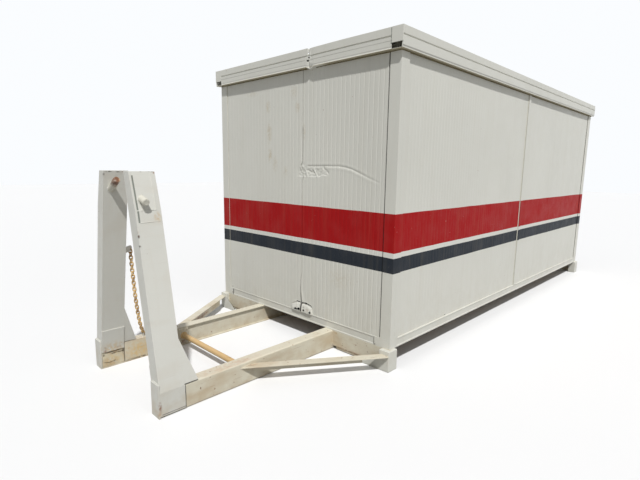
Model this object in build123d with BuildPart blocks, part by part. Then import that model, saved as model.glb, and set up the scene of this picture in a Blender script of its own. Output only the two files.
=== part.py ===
from build123d import *
import math
import os

os.makedirs("parts", exist_ok=True)

# Portable site cabin on a hook-lift skid. Millimetres.
# X runs across the cabin, Y along it, Z up. The lifting frame is at the -Y end.
# The origin is on the ground, under the middle of the whole length and width.

# Cabin envelope
roof_width = 2500.0
roof_length = 5475.0
roof_top = 2733.0
roof_overhang_side = 37.0
roof_overhang_end = 48.0
wall_thickness = 60.0
panel_gap = 3.0
end_panel_joint = 130.0

# Roof edge beams: folded sheet with a groove, a drip lip below and a deck inside
roof_beam_height = 160.0
roof_beam_depth = 105.0
roof_beam_sheet = 4.0
roof_groove_drop = 60.0
roof_groove_height = 8.0
roof_groove_depth = 8.0
roof_lip_height = 14.0
roof_lip_depth = 5.0
roof_cap_height = 115.0
roof_cap_thickness = 5.0
roof_deck_drop = 40.0
roof_rib_count = 18
roof_rib_width = 70.0
roof_rib_crown = 40.0
roof_rib_height = 18.0

# Skid rails: box sections whose inner web is set back between the flanges
rail_height = 180.0
rail_flange = 98.0
rail_thickness = 8.0
rail_web_setback = 21.0
rail_plate_gap = 6.0
rail_half_spacing = 565.0
rail_fold_radius = 12.0
rail_rear_setback = 70.0

# Lifting frame in front of the cabin
frame_reach = 1715.0
post_width = 106.0
post_depth = 180.0
post_wall = 8.0
post_height = 1640.0
post_top_outer = 284.0
post_knee = 1385.0
post_top_setback = 24.0
post_pocket_depth = 4.0
post_front_flange = 14.0
post_rear_flange = 32.0
foot_plate_thickness = 12.0
foot_plate_height = 240.0
side_plate_length = 188.0
side_plate_bottom = 12.0
inner_plate_bottom = 140.0
inner_plate_top = 335.0
gusset_depth = 108.0
gusset_height = 330.0
gusset_thickness = 8.0
gusset_gap = 8.0

# Hook bar, bent and cut out between the posts
hook_bar_diameter = 50.0
hook_bar_height = 1470.0
inner_stub_length = 120.0
inner_stub_rise = 32.0
outer_stub_length = 62.0
outer_stub_drop = 16.0
hook_bar_from_front = 60.0
hook_bar_bend_radius = 60.0

# Cross tube and the braces to the cabin's corners
tube_diameter = 48.0
tube_wall = 4.0
tube_height = 100.0
tube_from_wall = 970.0
bracket_width = 90.0
bracket_height = 140.0
bracket_thickness = 10.0
brace_flange = 80.0
brace_leg = 65.0
brace_thickness = 7.0
brace_top = 145.0
brace_from_wall = 1050.0
brace_foot_reach = 100.0
brace_leg_end = 180.0

# Members under the floor
cross_member_flange = 60.0
cross_member_height = 120.0
cross_member_sheet = 6.0
cross_member_count = 4
cross_member_front_inset = 560.0
cross_member_rear_inset = 120.0
outrigger_flange = 60.0
outrigger_sheet = 6.0
outrigger_bottom = 32.0
outrigger_lip_bottom = 8.0
outrigger_notch = 45.0
foot_width = 76.0
foot_proud_end = 45.0
foot_proud_side = 25.0
foot_gusset_reach = 205.0
foot_gusset_height = 138.0
foot_gusset_thickness = 8.0

# Floor frame and floor
floor_beam_height = 80.0
floor_beam_depth = 100.0
floor_corner_width = 167.0
floor_deck_thickness = 66.0

# Corner posts of the cabin and the covers over the wall joints
corner_face_end = 105.0
corner_face_side = 55.0
corner_post_wall = 4.0
panel_recess = 4.0
joint_cover_width = 58.0

# Door in the rear wall
door_width = 900.0
over_door_height = 248.0
door_frame_width = 45.0
door_frame_proud = 12.0
door_leaf_thickness = 46.0
door_clearance = 4.0
door_stop = 18.0
door_seat = 0.3
door_handle_height = 1050.0
door_handle_setback = 65.0
door_handle_length = 130.0
door_handle_diameter = 18.0
door_handle_reach = 55.0
door_plate_width = 42.0
door_plate_height = 230.0
door_plate_thickness = 6.0

# Rollers at the rear ends of the rails
roller_diameter = 156.0
roller_length = 120.0
roller_axle_diameter = 40.0
roller_from_rear = 190.0
roller_clearance = 4.0
roller_plate_thickness = 10.0
roller_plate_bottom = 45.0

# Chain that hangs from a lug behind the left post to a lug on the left rail.
# Its slack is the least share by which it is longer than the way between its ends.
chain_wire = 10.0
chain_pitch = 28.0
chain_link_width = 36.0
chain_slack = 1.005
chain_play = 0.4
chain_seat = 0.3
chain_lug_width = 48.0
chain_lug_thickness = 10.0
chain_lug_hole = 24.0
chain_lug_height = 1006.0
chain_lug_inset = 78.0
chain_lug_reach = 64.0
rail_lug_inset = 65.0
rail_lug_setback = 195.0
rail_lug_rise = 24.0

# Steps and range in which the chain's curve and its seats are worked out
curve_range = 1000
curve_steps = 60
seat_steps = 6

# Places that follow from the sizes above
wall_width = roof_width - 2 * roof_overhang_side
wall_length = roof_length - 2 * roof_overhang_end
overall_length = frame_reach + wall_length + roof_overhang_end
frame_front = -overall_length / 2
wall_front = frame_front + frame_reach
wall_rear = wall_front + wall_length
wall_middle = (wall_front + wall_rear) / 2
wall_side = wall_width / 2
roof_side = roof_width / 2
roof_front = wall_front - roof_overhang_end
roof_rear = wall_rear + roof_overhang_end
wall_bottom = rail_height + floor_beam_height
wall_top = roof_top - roof_beam_height
post_front = frame_front + foot_plate_thickness
post_rear = post_front + post_depth
foot_outer = rail_half_spacing + post_wall
rail_inner_edge = rail_half_spacing - rail_flange
rail_inner_web = rail_inner_edge + rail_web_setback
rail_rear = wall_rear - rail_rear_setback
post_lean = (foot_outer - post_top_outer) / (post_height - rail_height)


def front_plane(y):
    """Sketch plane seen from the lifting frame, at this Y: X to the right, Z up."""
    return Plane(origin=(0, y, 0), x_dir=(1, 0, 0), z_dir=(0, -1, 0))


def side_plane(x):
    """Sketch plane seen from the +X side, at this X: Y to the right, Z up."""
    return Plane(origin=(x, 0, 0), x_dir=(0, 1, 0), z_dir=(1, 0, 0))


def save(piece, name):
    piece.part.label = name
    export_step(piece.part, "parts/" + name + ".step")


def slab(low, high, mode=Mode.ADD):
    """A block between two corners, added to the builder that is open."""
    size = [b - a for a, b in zip(low, high)]
    with Locations(tuple(low)):
        Box(*size, align=(Align.MIN, Align.MIN, Align.MIN), mode=mode)


def mirrored(piece, about=Plane.YZ):
    """The same piece on the other side of a plane."""
    with BuildPart() as other:
        mirror(piece.part, about=about)
    return other


def save_pair(piece, name):
    """Writes a piece of the right side and its mirror on the left."""
    save(piece, name + "_right")
    save(mirrored(piece), name + "_left")


def post_outer_x(z):
    """X of the right post's outer face at height z: upright, then leaning inward."""
    return foot_outer - post_lean * max(z - rail_height, 0)


def post_face_x(z):
    """X of the same face with its knee: above it, the face leans inward more."""
    beyond = max(z - post_knee, 0) / (post_height - post_knee)
    return post_outer_x(z) - post_top_setback * beyond


# Skid rails

with BuildPart() as skid_rail:
    with BuildSketch(front_plane(post_front)):
        with Locations((rail_half_spacing, rail_height / 2)):
            Rectangle(rail_flange, rail_height, align=(Align.MAX, Align.CENTER))
        fold = vertices().group_by(Axis.X)[-1]
        fillet(fold, rail_fold_radius)
        web_height = rail_height - 2 * rail_thickness
        hollow_width = rail_flange - rail_web_setback - 2 * rail_thickness
        with Locations((rail_half_spacing - rail_thickness, rail_height / 2)):
            Rectangle(hollow_width, web_height, align=(Align.MAX, Align.CENTER), mode=Mode.SUBTRACT)
        with Locations((rail_inner_web, rail_height / 2)):
            Rectangle(rail_web_setback, web_height, align=(Align.MAX, Align.CENTER), mode=Mode.SUBTRACT)
    extrude(amount=post_front - rail_rear)
save_pair(skid_rail, "skid_rail")

# Hook bar stubs: one bent bar through each post, its middle cut out

bar_y = post_front + hook_bar_from_front
bar_x = post_outer_x(hook_bar_height) - post_width / 2
outer_run = post_width / 2 + outer_stub_length
inner_run = post_width / 2 + inner_stub_length
outer_slope = math.tan(math.radians(outer_stub_drop))
inner_slope = math.tan(math.radians(inner_stub_rise))

with BuildPart() as hook_bar:
    with BuildLine() as bar_line:
        FilletPolyline(
            (bar_x + outer_run, bar_y, hook_bar_height - outer_run * outer_slope),
            (bar_x, bar_y, hook_bar_height),
            (bar_x - inner_run, bar_y, hook_bar_height + inner_run * inner_slope),
            radius=hook_bar_bend_radius,
        )
    with BuildSketch(Plane(origin=bar_line.line @ 0, z_dir=bar_line.line % 0)):
        Circle(hook_bar_diameter / 2)
    sweep(path=bar_line.line)
save_pair(hook_bar, "hook_bar_stub")

# Hook posts: welded boxes that stand on the rails and lean towards each other

with BuildPart() as hook_post:
    with BuildSketch(front_plane(post_front)):
        Polygon(
            (post_face_x(rail_height), rail_height),
            (post_face_x(post_knee), post_knee),
            (post_face_x(post_height), post_height),
            (post_outer_x(post_height) - post_width, post_height),
            (post_outer_x(rail_height) - post_width, rail_height),
            align=None,
        )
    extrude(amount=-post_depth)
    cavity_top = post_height - 2 * post_wall
    with BuildSketch(front_plane(post_front + post_wall)):
        Polygon(
            (post_face_x(rail_height) - post_wall, rail_height),
            (post_face_x(post_knee) - post_wall, post_knee),
            (post_face_x(cavity_top) - post_wall, cavity_top),
            (post_outer_x(cavity_top) - post_width + post_wall, cavity_top),
            (post_outer_x(rail_height) - post_width + post_wall, rail_height),
            align=None,
        )
    extrude(amount=2 * post_wall - post_depth, mode=Mode.SUBTRACT)
    with BuildSketch(front_plane(post_front + post_front_flange)):
        Polygon(
            (post_face_x(post_knee), post_knee),
            (post_face_x(post_height), post_height),
            (post_face_x(post_height) - post_pocket_depth, post_height),
            (post_face_x(post_knee) - post_pocket_depth, post_knee),
            align=None,
        )
    extrude(amount=post_front_flange + post_rear_flange - post_depth, mode=Mode.SUBTRACT)
    add(hook_bar.part, mode=Mode.SUBTRACT)
save_pair(hook_post, "hook_post")

# Plates that tie the foot of each post to its rail

with BuildPart() as post_front_plates:
    slab((foot_outer - post_width, frame_front, 0), (foot_outer, post_front, foot_plate_height))
    mirror(about=Plane.YZ)
save(post_front_plates, "post_front_plates")

with BuildPart() as post_side_plates:
    slab(
        (rail_half_spacing, post_front, side_plate_bottom),
        (foot_outer, post_front + side_plate_length, rail_height),
    )
    mirror(about=Plane.YZ)
save(post_side_plates, "post_side_plates")

with BuildPart() as post_inner_plates:
    inner_low = foot_outer - post_width
    inner_high = post_outer_x(inner_plate_top) - post_width
    with BuildSketch(front_plane(post_front)):
        Polygon(
            (inner_low, inner_plate_bottom),
            (inner_low, rail_height),
            (inner_high, inner_plate_top),
            (inner_high - post_wall, inner_plate_top),
            (inner_low - post_wall, rail_height),
            (inner_low - post_wall, inner_plate_bottom),
            align=None,
        )
    extrude(amount=-post_depth)
    mirror(about=Plane.YZ)
save(post_inner_plates, "post_inner_plates")

# Gussets behind each post, one in line with its outer face and one with its inner

lean_angle = math.atan(post_lean)
lean_normal = (math.cos(lean_angle), 0, math.sin(lean_angle))
with BuildPart() as post_gussets:
    for face_x, inward in ((foot_outer, -1), (foot_outer - post_width, 1)):
        face = Plane(origin=(face_x, 0, rail_height), x_dir=(0, 1, 0), z_dir=lean_normal)
        with BuildSketch(face):
            Polygon(
                (post_rear, gusset_gap),
                (post_rear + gusset_depth, gusset_gap),
                (post_rear, gusset_height),
                align=None,
            )
        extrude(amount=inward * gusset_thickness)
    mirror(about=Plane.YZ)
save(post_gussets, "post_gussets")

# Lugs for the chain, both turned into the upright plane in which it hangs

post_lug = (-post_outer_x(chain_lug_height) + post_width - chain_lug_inset, post_rear + chain_lug_reach)
rail_lug = (-rail_half_spacing + rail_lug_inset, post_rear + rail_lug_setback)
chain_span = math.dist(post_lug, rail_lug)
across = ((rail_lug[0] - post_lug[0]) / chain_span, (rail_lug[1] - post_lug[1]) / chain_span)
chain_side = (across[1], -across[0], 0)
chain_plane = Plane(origin=(*post_lug, 0), x_dir=(*across, 0), z_dir=chain_side)
post_hole = (0, chain_lug_height)
rail_hole = (chain_span, rail_height + rail_lug_rise)
post_root = chain_lug_reach / across[1] + chain_lug_thickness

with BuildPart() as chain_lugs:
    with BuildSketch(chain_plane.offset(-chain_lug_thickness / 2)):
        with Locations(post_hole):
            Circle(chain_lug_width / 2)
            Rectangle(post_root, chain_lug_width, align=(Align.MAX, Align.CENTER))
        with Locations(rail_hole):
            Circle(chain_lug_width / 2)
            Rectangle(chain_lug_width, rail_lug_rise, align=(Align.CENTER, Align.MAX))
        with Locations(post_hole, rail_hole):
            Circle(chain_lug_hole / 2, mode=Mode.SUBTRACT)
    extrude(amount=chain_lug_thickness)
    split(bisect_by=Plane(origin=(0, post_rear, 0), z_dir=(0, 1, 0)))
save(chain_lugs, "chain_lugs")

# Chain link: a loop of straight runs with its corners cut, its wire with eight flat sides

octagon_cut = 2 - math.sqrt(2)
link_half_width = (chain_link_width - chain_wire) / 2
link_half_length = (chain_pitch + chain_play + chain_wire) / 2
link_cut = link_half_width * octagon_cut
link_corners = [
    (link_half_width, link_half_length - link_cut),
    (link_half_width - link_cut, link_half_length),
    (link_cut - link_half_width, link_half_length),
    (-link_half_width, link_half_length - link_cut),
]
link_corners += [(-x, -z) for x, z in link_corners]
wire_bevel = chain_wire / 2 * octagon_cut
with BuildPart() as chain_link:
    with BuildSketch(Plane.XZ):
        wire_line = Polygon(*link_corners, align=None, mode=Mode.PRIVATE)
        offset(wire_line, amount=chain_wire / 2, kind=Kind.INTERSECTION)
        offset(wire_line, amount=-chain_wire / 2, kind=Kind.INTERSECTION, mode=Mode.SUBTRACT)
    extrude(amount=chain_wire / 2, both=True)
    chamfer(faces().filter_by(Axis.Y).edges(), wire_bevel)

# Each end link bears on the edge of its lug's hole, with the flat side of its end run.
# The hole's curve and the bends beside that run keep it a little off the edge's middle.
wire_flat = chain_wire / 2 - wire_bevel
end_run = link_half_width - link_cut - wire_flat
bend_rise = max(chain_lug_thickness / 2 - end_run, 0)
hole_reach = math.sqrt((chain_lug_hole / 2) ** 2 - wire_flat**2) - bend_rise - chain_seat

# The chain has an odd number of links, so that its first and last lie alike in the lugs

end_distance = math.dist(post_hole, rail_hole) - 2 * hole_reach
chain_links = 2 * math.ceil((end_distance * chain_slack / chain_pitch - 1) / 2) + 1
chain_length = chain_links * chain_pitch


def hanging_line(start, end):
    """Function from the length along the hanging chain to its point, in the chain's plane."""
    span = end.X - start.X
    drop = end.Y - start.Y
    chord = math.sqrt(chain_length**2 - drop**2)
    low, high = span / curve_range, span * curve_range
    for step in range(curve_steps):
        scale = math.sqrt(low * high)
        if 2 * scale * math.sinh(span / (2 * scale)) > chord:
            low = scale
        else:
            high = scale
    lowest = span / 2 - scale * math.atanh(drop / chain_length)

    def point(length):
        reach = lowest + scale * math.asinh(length / scale - math.sinh(lowest / scale))
        fall = scale * (math.cosh((reach - lowest) / scale) - math.cosh(lowest / scale))
        return Vector(start.X + reach, start.Y + fall)

    return point


# The curve's ends lie in the holes, in the direction in which the curve leaves them
hole_centres = (Vector(*post_hole), Vector(*rail_hole))
chain_ends = hole_centres
for step in range(seat_steps):
    curve = hanging_line(*chain_ends)
    first_pull = (curve(chain_pitch) - curve(0)).normalized()
    last_pull = (curve(chain_length - chain_pitch) - curve(chain_length)).normalized()
    chain_ends = [
        centre + pull * hole_reach for centre, pull in zip(hole_centres, (first_pull, last_pull))
    ]

with BuildPart() as hook_chain:
    for number in range(chain_links):
        high = chain_plane.from_local_coords(curve(number * chain_pitch))
        low = chain_plane.from_local_coords(curve((number + 1) * chain_pitch))
        down = (low - high).normalized()
        link_side = Vector(*chain_side)
        if number % 2:
            link_side = link_side.cross(down)
        with Locations(Plane(origin=(high + low) / 2, x_dir=link_side, z_dir=down)):
            add(chain_link.part)
save(hook_chain, "hook_chain")

# Cross tube between the rails, in a bracket at each end

tube_y = wall_front - tube_from_wall
bracket_x = rail_inner_edge - bracket_thickness
with BuildPart() as tube_brackets:
    slab(
        (bracket_x, tube_y - bracket_width / 2, tube_height - bracket_height / 2),
        (rail_inner_edge, tube_y + bracket_width / 2, tube_height + bracket_height / 2),
    )
    mirror(about=Plane.YZ)
save(tube_brackets, "tube_brackets")

# Plates that close the rails' inner side between the posts and the tube

with BuildPart() as rail_inner_plates:
    slab(
        (rail_inner_edge, post_rear + rail_plate_gap, rail_thickness),
        (rail_inner_web, tube_y + bracket_width / 2, rail_height - rail_thickness),
    )
    mirror(about=Plane.YZ)
save(rail_inner_plates, "rail_inner_plates")

with BuildPart() as cross_tube:
    with BuildSketch(side_plane(-bracket_x)):
        with Locations((tube_y, tube_height)):
            Circle(tube_diameter / 2)
            Circle(tube_diameter / 2 - tube_wall, mode=Mode.SUBTRACT)
    extrude(amount=2 * bracket_x)
save(cross_tube, "cross_tube")

# Corner feet: a leg proud of each corner of the cabin, with a gusset towards the middle

leg_inner = wall_side - foot_width
leg_outer = wall_side + foot_proud_side
leg_front = wall_front - foot_proud_end
with BuildPart() as corner_feet:
    slab((leg_inner, leg_front, 0), (leg_outer, wall_front + foot_width, rail_height))
    with BuildSketch(front_plane(leg_front)):
        Polygon(
            (leg_inner, 0),
            (leg_inner, foot_gusset_height),
            (leg_inner - foot_gusset_reach, 0),
            align=None,
        )
    extrude(amount=-foot_gusset_thickness)
    mirror(about=Plane.YZ)
    mirror(about=Plane.XZ.offset(-wall_middle))
save(corner_feet, "corner_feet")

# Braces: angle bars from the rails to the front corner feet

brace_start = (rail_half_spacing, wall_front - brace_from_wall)
brace_end = (wall_side, wall_front - brace_foot_reach)
brace_length = math.dist(brace_start, brace_end)
along = ((brace_end[0] - brace_start[0]) / brace_length, (brace_end[1] - brace_start[1]) / brace_length)
with BuildPart() as brace:
    section = Plane(
        origin=(brace_start[0], brace_start[1], 0),
        x_dir=(-along[1], along[0], 0),
        z_dir=(along[0], along[1], 0),
    )
    with BuildSketch(section.offset(-brace_flange)):
        Polygon(
            (0, brace_top),
            (brace_flange, brace_top),
            (brace_flange, brace_top - brace_leg),
            (brace_flange - brace_thickness, brace_top - brace_leg),
            (brace_flange - brace_thickness, brace_top - brace_thickness),
            (0, brace_top - brace_thickness),
            align=None,
        )
    extrude(amount=brace_length + 3 * brace_flange)
    split(bisect_by=Plane(origin=(rail_half_spacing, 0, 0), z_dir=(1, 0, 0)))
    split(bisect_by=Plane(origin=(0, leg_front, 0), z_dir=(0, -1, 0)))
    split(bisect_by=Plane(origin=(leg_outer, 0, 0), z_dir=(-1, 0, 0)))
    slab(
        (rail_half_spacing, wall_front - brace_leg_end, 0),
        (leg_outer, leg_front, brace_top - brace_thickness),
        mode=Mode.SUBTRACT,
    )
save_pair(brace, "brace")

# Cross members between the rails, under the floor

with BuildPart() as skid_cross_members:
    first = wall_front + cross_member_front_inset
    pitch = (rail_rear - cross_member_rear_inset - first) / (cross_member_count - 1)
    for number in range(cross_member_count):
        with BuildSketch(side_plane(-rail_inner_web)):
            with Locations((first + number * pitch, rail_height / 2)):
                Rectangle(cross_member_flange, cross_member_height, align=(Align.MIN, Align.CENTER))
            with Locations((first + number * pitch + cross_member_sheet, rail_height / 2)):
                Rectangle(
                    cross_member_flange,
                    cross_member_height - 2 * cross_member_sheet,
                    align=(Align.MIN, Align.CENTER),
                    mode=Mode.SUBTRACT,
                )
        extrude(amount=2 * rail_inner_web)
save(skid_cross_members, "skid_cross_members")

# Outriggers from the rails to the corner feet, notched beside the rail

with BuildPart() as outriggers:
    with BuildSketch(side_plane(rail_half_spacing)):
        Polygon(
            (wall_front, outrigger_bottom),
            (wall_front + outrigger_flange, outrigger_bottom),
            (wall_front + outrigger_flange, outrigger_bottom + outrigger_sheet),
            (wall_front + outrigger_sheet, outrigger_bottom + outrigger_sheet),
            (wall_front + outrigger_sheet, rail_height - outrigger_sheet),
            (wall_front + outrigger_flange, rail_height - outrigger_sheet),
            (wall_front + outrigger_flange, rail_height),
            (wall_front, rail_height),
            align=None,
        )
    extrude(amount=leg_inner - rail_half_spacing)
    slab(
        (rail_half_spacing + outrigger_notch, wall_front + outrigger_sheet, outrigger_lip_bottom),
        (leg_inner, wall_front + 2 * outrigger_sheet, outrigger_bottom),
    )
    mirror(about=Plane.YZ)
    mirror(about=Plane.XZ.offset(-wall_middle))
save(outriggers, "outriggers")

# Rollers at the rear of the rails, each in a bracket on the rail's outer side

roller_y = rail_rear - roller_from_rear
roller_x = rail_half_spacing + roller_clearance
roller_end = roller_x + roller_length + roller_clearance
roller_axis = (roller_y, roller_diameter / 2)
with BuildPart() as rear_rollers:
    with BuildSketch(side_plane(roller_x)):
        with Locations(roller_axis):
            Circle(roller_diameter / 2)
    extrude(amount=roller_length)
    with BuildSketch(side_plane(rail_half_spacing)):
        with Locations(roller_axis):
            Circle(roller_axle_diameter / 2)
    extrude(amount=roller_end + roller_plate_thickness - rail_half_spacing)
    mirror(about=Plane.YZ)
save(rear_rollers, "rear_rollers")

with BuildPart() as roller_brackets:
    bracket_half = roller_diameter / 2 + roller_clearance + roller_plate_thickness
    slab(
        (rail_half_spacing, roller_y - bracket_half, roller_plate_bottom),
        (roller_end + roller_plate_thickness, roller_y + bracket_half, rail_height),
    )
    slab(
        (rail_half_spacing, roller_y - bracket_half + roller_plate_thickness, roller_plate_bottom),
        (roller_end, roller_y + bracket_half - roller_plate_thickness, rail_height),
        mode=Mode.SUBTRACT,
    )
    with BuildSketch(side_plane(roller_end)):
        with Locations(roller_axis):
            Circle(roller_axle_diameter / 2)
    extrude(amount=roller_plate_thickness, mode=Mode.SUBTRACT)
    mirror(about=Plane.YZ)
save(roller_brackets, "roller_brackets")

# Floor frame: corner blocks with beams between them, and the floor inside

corner_in = wall_side - floor_corner_width
beam_inner = wall_side - floor_beam_depth
with BuildPart() as floor_corners:
    slab(
        (corner_in, wall_front, rail_height),
        (wall_side, wall_front + floor_beam_depth, wall_bottom),
    )
    mirror(about=Plane.YZ)
    mirror(about=Plane.XZ.offset(-wall_middle))
save(floor_corners, "floor_corners")

with BuildPart() as floor_beam_front:
    slab(
        (-corner_in, wall_front, rail_height),
        (corner_in, wall_front + floor_beam_depth, wall_bottom),
    )
save(floor_beam_front, "floor_beam_front")
save(mirrored(floor_beam_front, Plane.XZ.offset(-wall_middle)), "floor_beam_rear")

with BuildPart() as floor_beam_side:
    slab(
        (beam_inner, wall_front + floor_beam_depth, rail_height),
        (wall_side, wall_rear - floor_beam_depth, wall_bottom),
    )
save_pair(floor_beam_side, "floor_beam")

with BuildPart() as floor_deck:
    slab(
        (-beam_inner, wall_front + floor_beam_depth, wall_bottom - floor_deck_thickness),
        (beam_inner, wall_rear - floor_beam_depth, wall_bottom),
    )
save(floor_deck, "floor_deck")

# Corner posts of the cabin: closed box sections

with BuildPart() as corner_posts:
    with BuildSketch(Plane.XY.offset(wall_bottom)):
        with Locations((wall_side, wall_front)):
            Rectangle(corner_face_end, corner_face_side, align=(Align.MAX, Align.MIN))
        with Locations((wall_side - corner_post_wall, wall_front + corner_post_wall)):
            Rectangle(
                corner_face_end - 2 * corner_post_wall,
                corner_face_side - 2 * corner_post_wall,
                align=(Align.MAX, Align.MIN),
                mode=Mode.SUBTRACT,
            )
    extrude(amount=wall_top - wall_bottom)
    mirror(about=Plane.YZ)
    mirror(about=Plane.XZ.offset(-wall_middle))
save(corner_posts, "corner_posts")

# Wall panels

panel_end_x = wall_side - corner_face_end - panel_gap
panel_end_y = wall_front + corner_face_side + panel_gap
side_out = wall_side - panel_recess
side_in = side_out - wall_thickness
front_out = wall_front + panel_recess
front_in = front_out + wall_thickness
with BuildPart() as front_wall_panels:
    slab((-panel_end_x, front_out, wall_bottom), (end_panel_joint - panel_gap / 2, front_in, wall_top))
    slab((end_panel_joint + panel_gap / 2, front_out, wall_bottom), (panel_end_x, front_in, wall_top))
save(front_wall_panels, "front_wall_panels")

with BuildPart() as side_wall_panels:
    slab((side_in, panel_end_y, wall_bottom), (side_out, wall_middle - panel_gap / 2, wall_top))
    mirror(about=Plane.XZ.offset(-wall_middle))
save(side_wall_panels, "right_wall_panels")
save(mirrored(side_wall_panels), "left_wall_panels")

with BuildPart() as joint_covers:
    slab(
        (side_out, wall_middle - joint_cover_width / 2, wall_bottom),
        (wall_side, wall_middle + joint_cover_width / 2, wall_top),
    )
    mirror(about=Plane.YZ)
save(joint_covers, "wall_joint_covers")

# Rear wall with a doorway in its middle

door_opening = door_width / 2 + door_frame_width
door_opening_top = wall_top - over_door_height
door_top = door_opening_top - door_frame_width
rear_out = wall_rear - panel_recess
rear_in = rear_out - wall_thickness
with BuildPart() as rear_wall_panels:
    slab((door_opening, rear_in, wall_bottom), (panel_end_x, rear_out, wall_top))
    mirror(about=Plane.YZ)
save(rear_wall_panels, "rear_wall_panels")

with BuildPart() as rear_wall_top:
    slab((-door_opening, rear_in, door_opening_top), (door_opening, rear_out, wall_top))
save(rear_wall_top, "rear_wall_top_panel")

leaf_half = door_width / 2 - door_clearance
leaf_out = rear_out + door_frame_proud - door_clearance
leaf_in = leaf_out - door_leaf_thickness
stop_face = leaf_in - door_seat
with BuildPart() as door_frame:
    slab(
        (-door_opening, rear_in - door_frame_proud, wall_bottom),
        (door_opening, rear_out + door_frame_proud, door_opening_top),
    )
    slab(
        (-door_width / 2, stop_face, wall_bottom),
        (door_width / 2, rear_out + door_frame_proud, door_top),
        mode=Mode.SUBTRACT,
    )
    slab(
        (door_stop - door_width / 2, rear_in - door_frame_proud, wall_bottom),
        (door_width / 2 - door_stop, stop_face, door_top - door_stop),
        mode=Mode.SUBTRACT,
    )
save(door_frame, "door_frame")

with BuildPart() as door_leaf:
    slab(
        (-leaf_half, leaf_in, wall_bottom + door_clearance),
        (leaf_half, leaf_out, door_top - door_clearance),
    )
save(door_leaf, "door_leaf")

handle_x = leaf_half - door_handle_setback
handle_z = wall_bottom + door_handle_height
with BuildPart() as door_handle:
    slab(
        (handle_x - door_plate_width / 2, leaf_out, handle_z - door_plate_height / 2),
        (handle_x + door_plate_width / 2, leaf_out + door_plate_thickness, handle_z + door_plate_height / 2),
    )
    grip_y = leaf_out + door_handle_reach
    with BuildLine() as lever_line:
        FilletPolyline(
            (handle_x, leaf_out + door_plate_thickness, handle_z),
            (handle_x, grip_y, handle_z),
            (handle_x - door_handle_length, grip_y, handle_z),
            radius=door_handle_diameter,
        )
    with BuildSketch(Plane(origin=lever_line.line @ 0, z_dir=lever_line.line % 0)):
        Circle(door_handle_diameter / 2)
    sweep(path=lever_line.line)
save(door_handle, "door_handle")

# Roof edge beams: folded sheet, open to the inside, with a groove and a drip lip

def beam_outline(outer, inward, height=roof_top):
    """Outline of a roof beam across its length; outer is its outermost face."""
    low = height - roof_beam_height
    groove = height - roof_groove_drop
    points = [
        (0, height),
        (0, groove),
        (roof_groove_depth, groove - roof_groove_depth / 2),
        (roof_groove_depth, groove - roof_groove_height),
        (0, groove - roof_groove_height - roof_groove_depth / 2),
        (0, low + roof_lip_height + roof_lip_depth),
        (roof_lip_depth, low + roof_lip_height),
        (roof_lip_depth, low),
        (roof_beam_depth, low),
        (roof_beam_depth, low + roof_beam_sheet),
        (roof_groove_depth + roof_beam_sheet, low + roof_beam_sheet),
        (roof_groove_depth + roof_beam_sheet, height - roof_beam_sheet),
        (roof_beam_depth, height - roof_beam_sheet),
        (roof_beam_depth, height),
    ]
    return [(outer + inward * u, v) for u, v in points]


with BuildPart() as roof_beam_side:
    with BuildSketch(front_plane(roof_front + roof_cap_thickness)):
        Polygon(*beam_outline(roof_side, -1), align=None)
    extrude(amount=2 * roof_cap_thickness - roof_length)
save_pair(roof_beam_side, "roof_beam")

end_beam_half = roof_side - roof_beam_depth
with BuildPart() as roof_beam_front:
    with BuildSketch(side_plane(-end_beam_half)):
        Polygon(*beam_outline(roof_front, 1), align=None)
    extrude(amount=2 * end_beam_half)
save(roof_beam_front, "roof_beam_front")
save(mirrored(roof_beam_front, Plane.XZ.offset(-wall_middle)), "roof_beam_rear")

with BuildPart() as roof_end_caps:
    slab(
        (roof_side - roof_beam_depth, roof_front, roof_top - roof_cap_height),
        (roof_side, roof_front + roof_cap_thickness, roof_top),
    )
    mirror(about=Plane.YZ)
    mirror(about=Plane.XZ.offset(-wall_middle))
save(roof_end_caps, "roof_end_caps")

# Insulated roof between the beams, with raised ribs across its top

roof_deck_top = roof_top - roof_deck_drop
deck_front = roof_front + roof_beam_depth
deck_rear = roof_rear - roof_beam_depth
with BuildPart() as roof_panel:
    slab((-end_beam_half, deck_front, wall_top), (end_beam_half, deck_rear, roof_deck_top))
    rib_pitch = (deck_rear - deck_front) / roof_rib_count
    with BuildSketch(side_plane(-end_beam_half)):
        for number in range(roof_rib_count):
            centre = deck_front + (number + 0.5) * rib_pitch
            Polygon(
                (centre - roof_rib_width / 2, roof_deck_top),
                (centre + roof_rib_width / 2, roof_deck_top),
                (centre + roof_rib_crown / 2, roof_deck_top + roof_rib_height),
                (centre - roof_rib_crown / 2, roof_deck_top + roof_rib_height),
                align=None,
            )
    extrude(amount=2 * end_beam_half)
save(roof_panel, "roof_panel")
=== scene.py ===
import math

import bmesh
import bpy
import numpy as np
from mathutils import Matrix, Vector, noise


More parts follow.
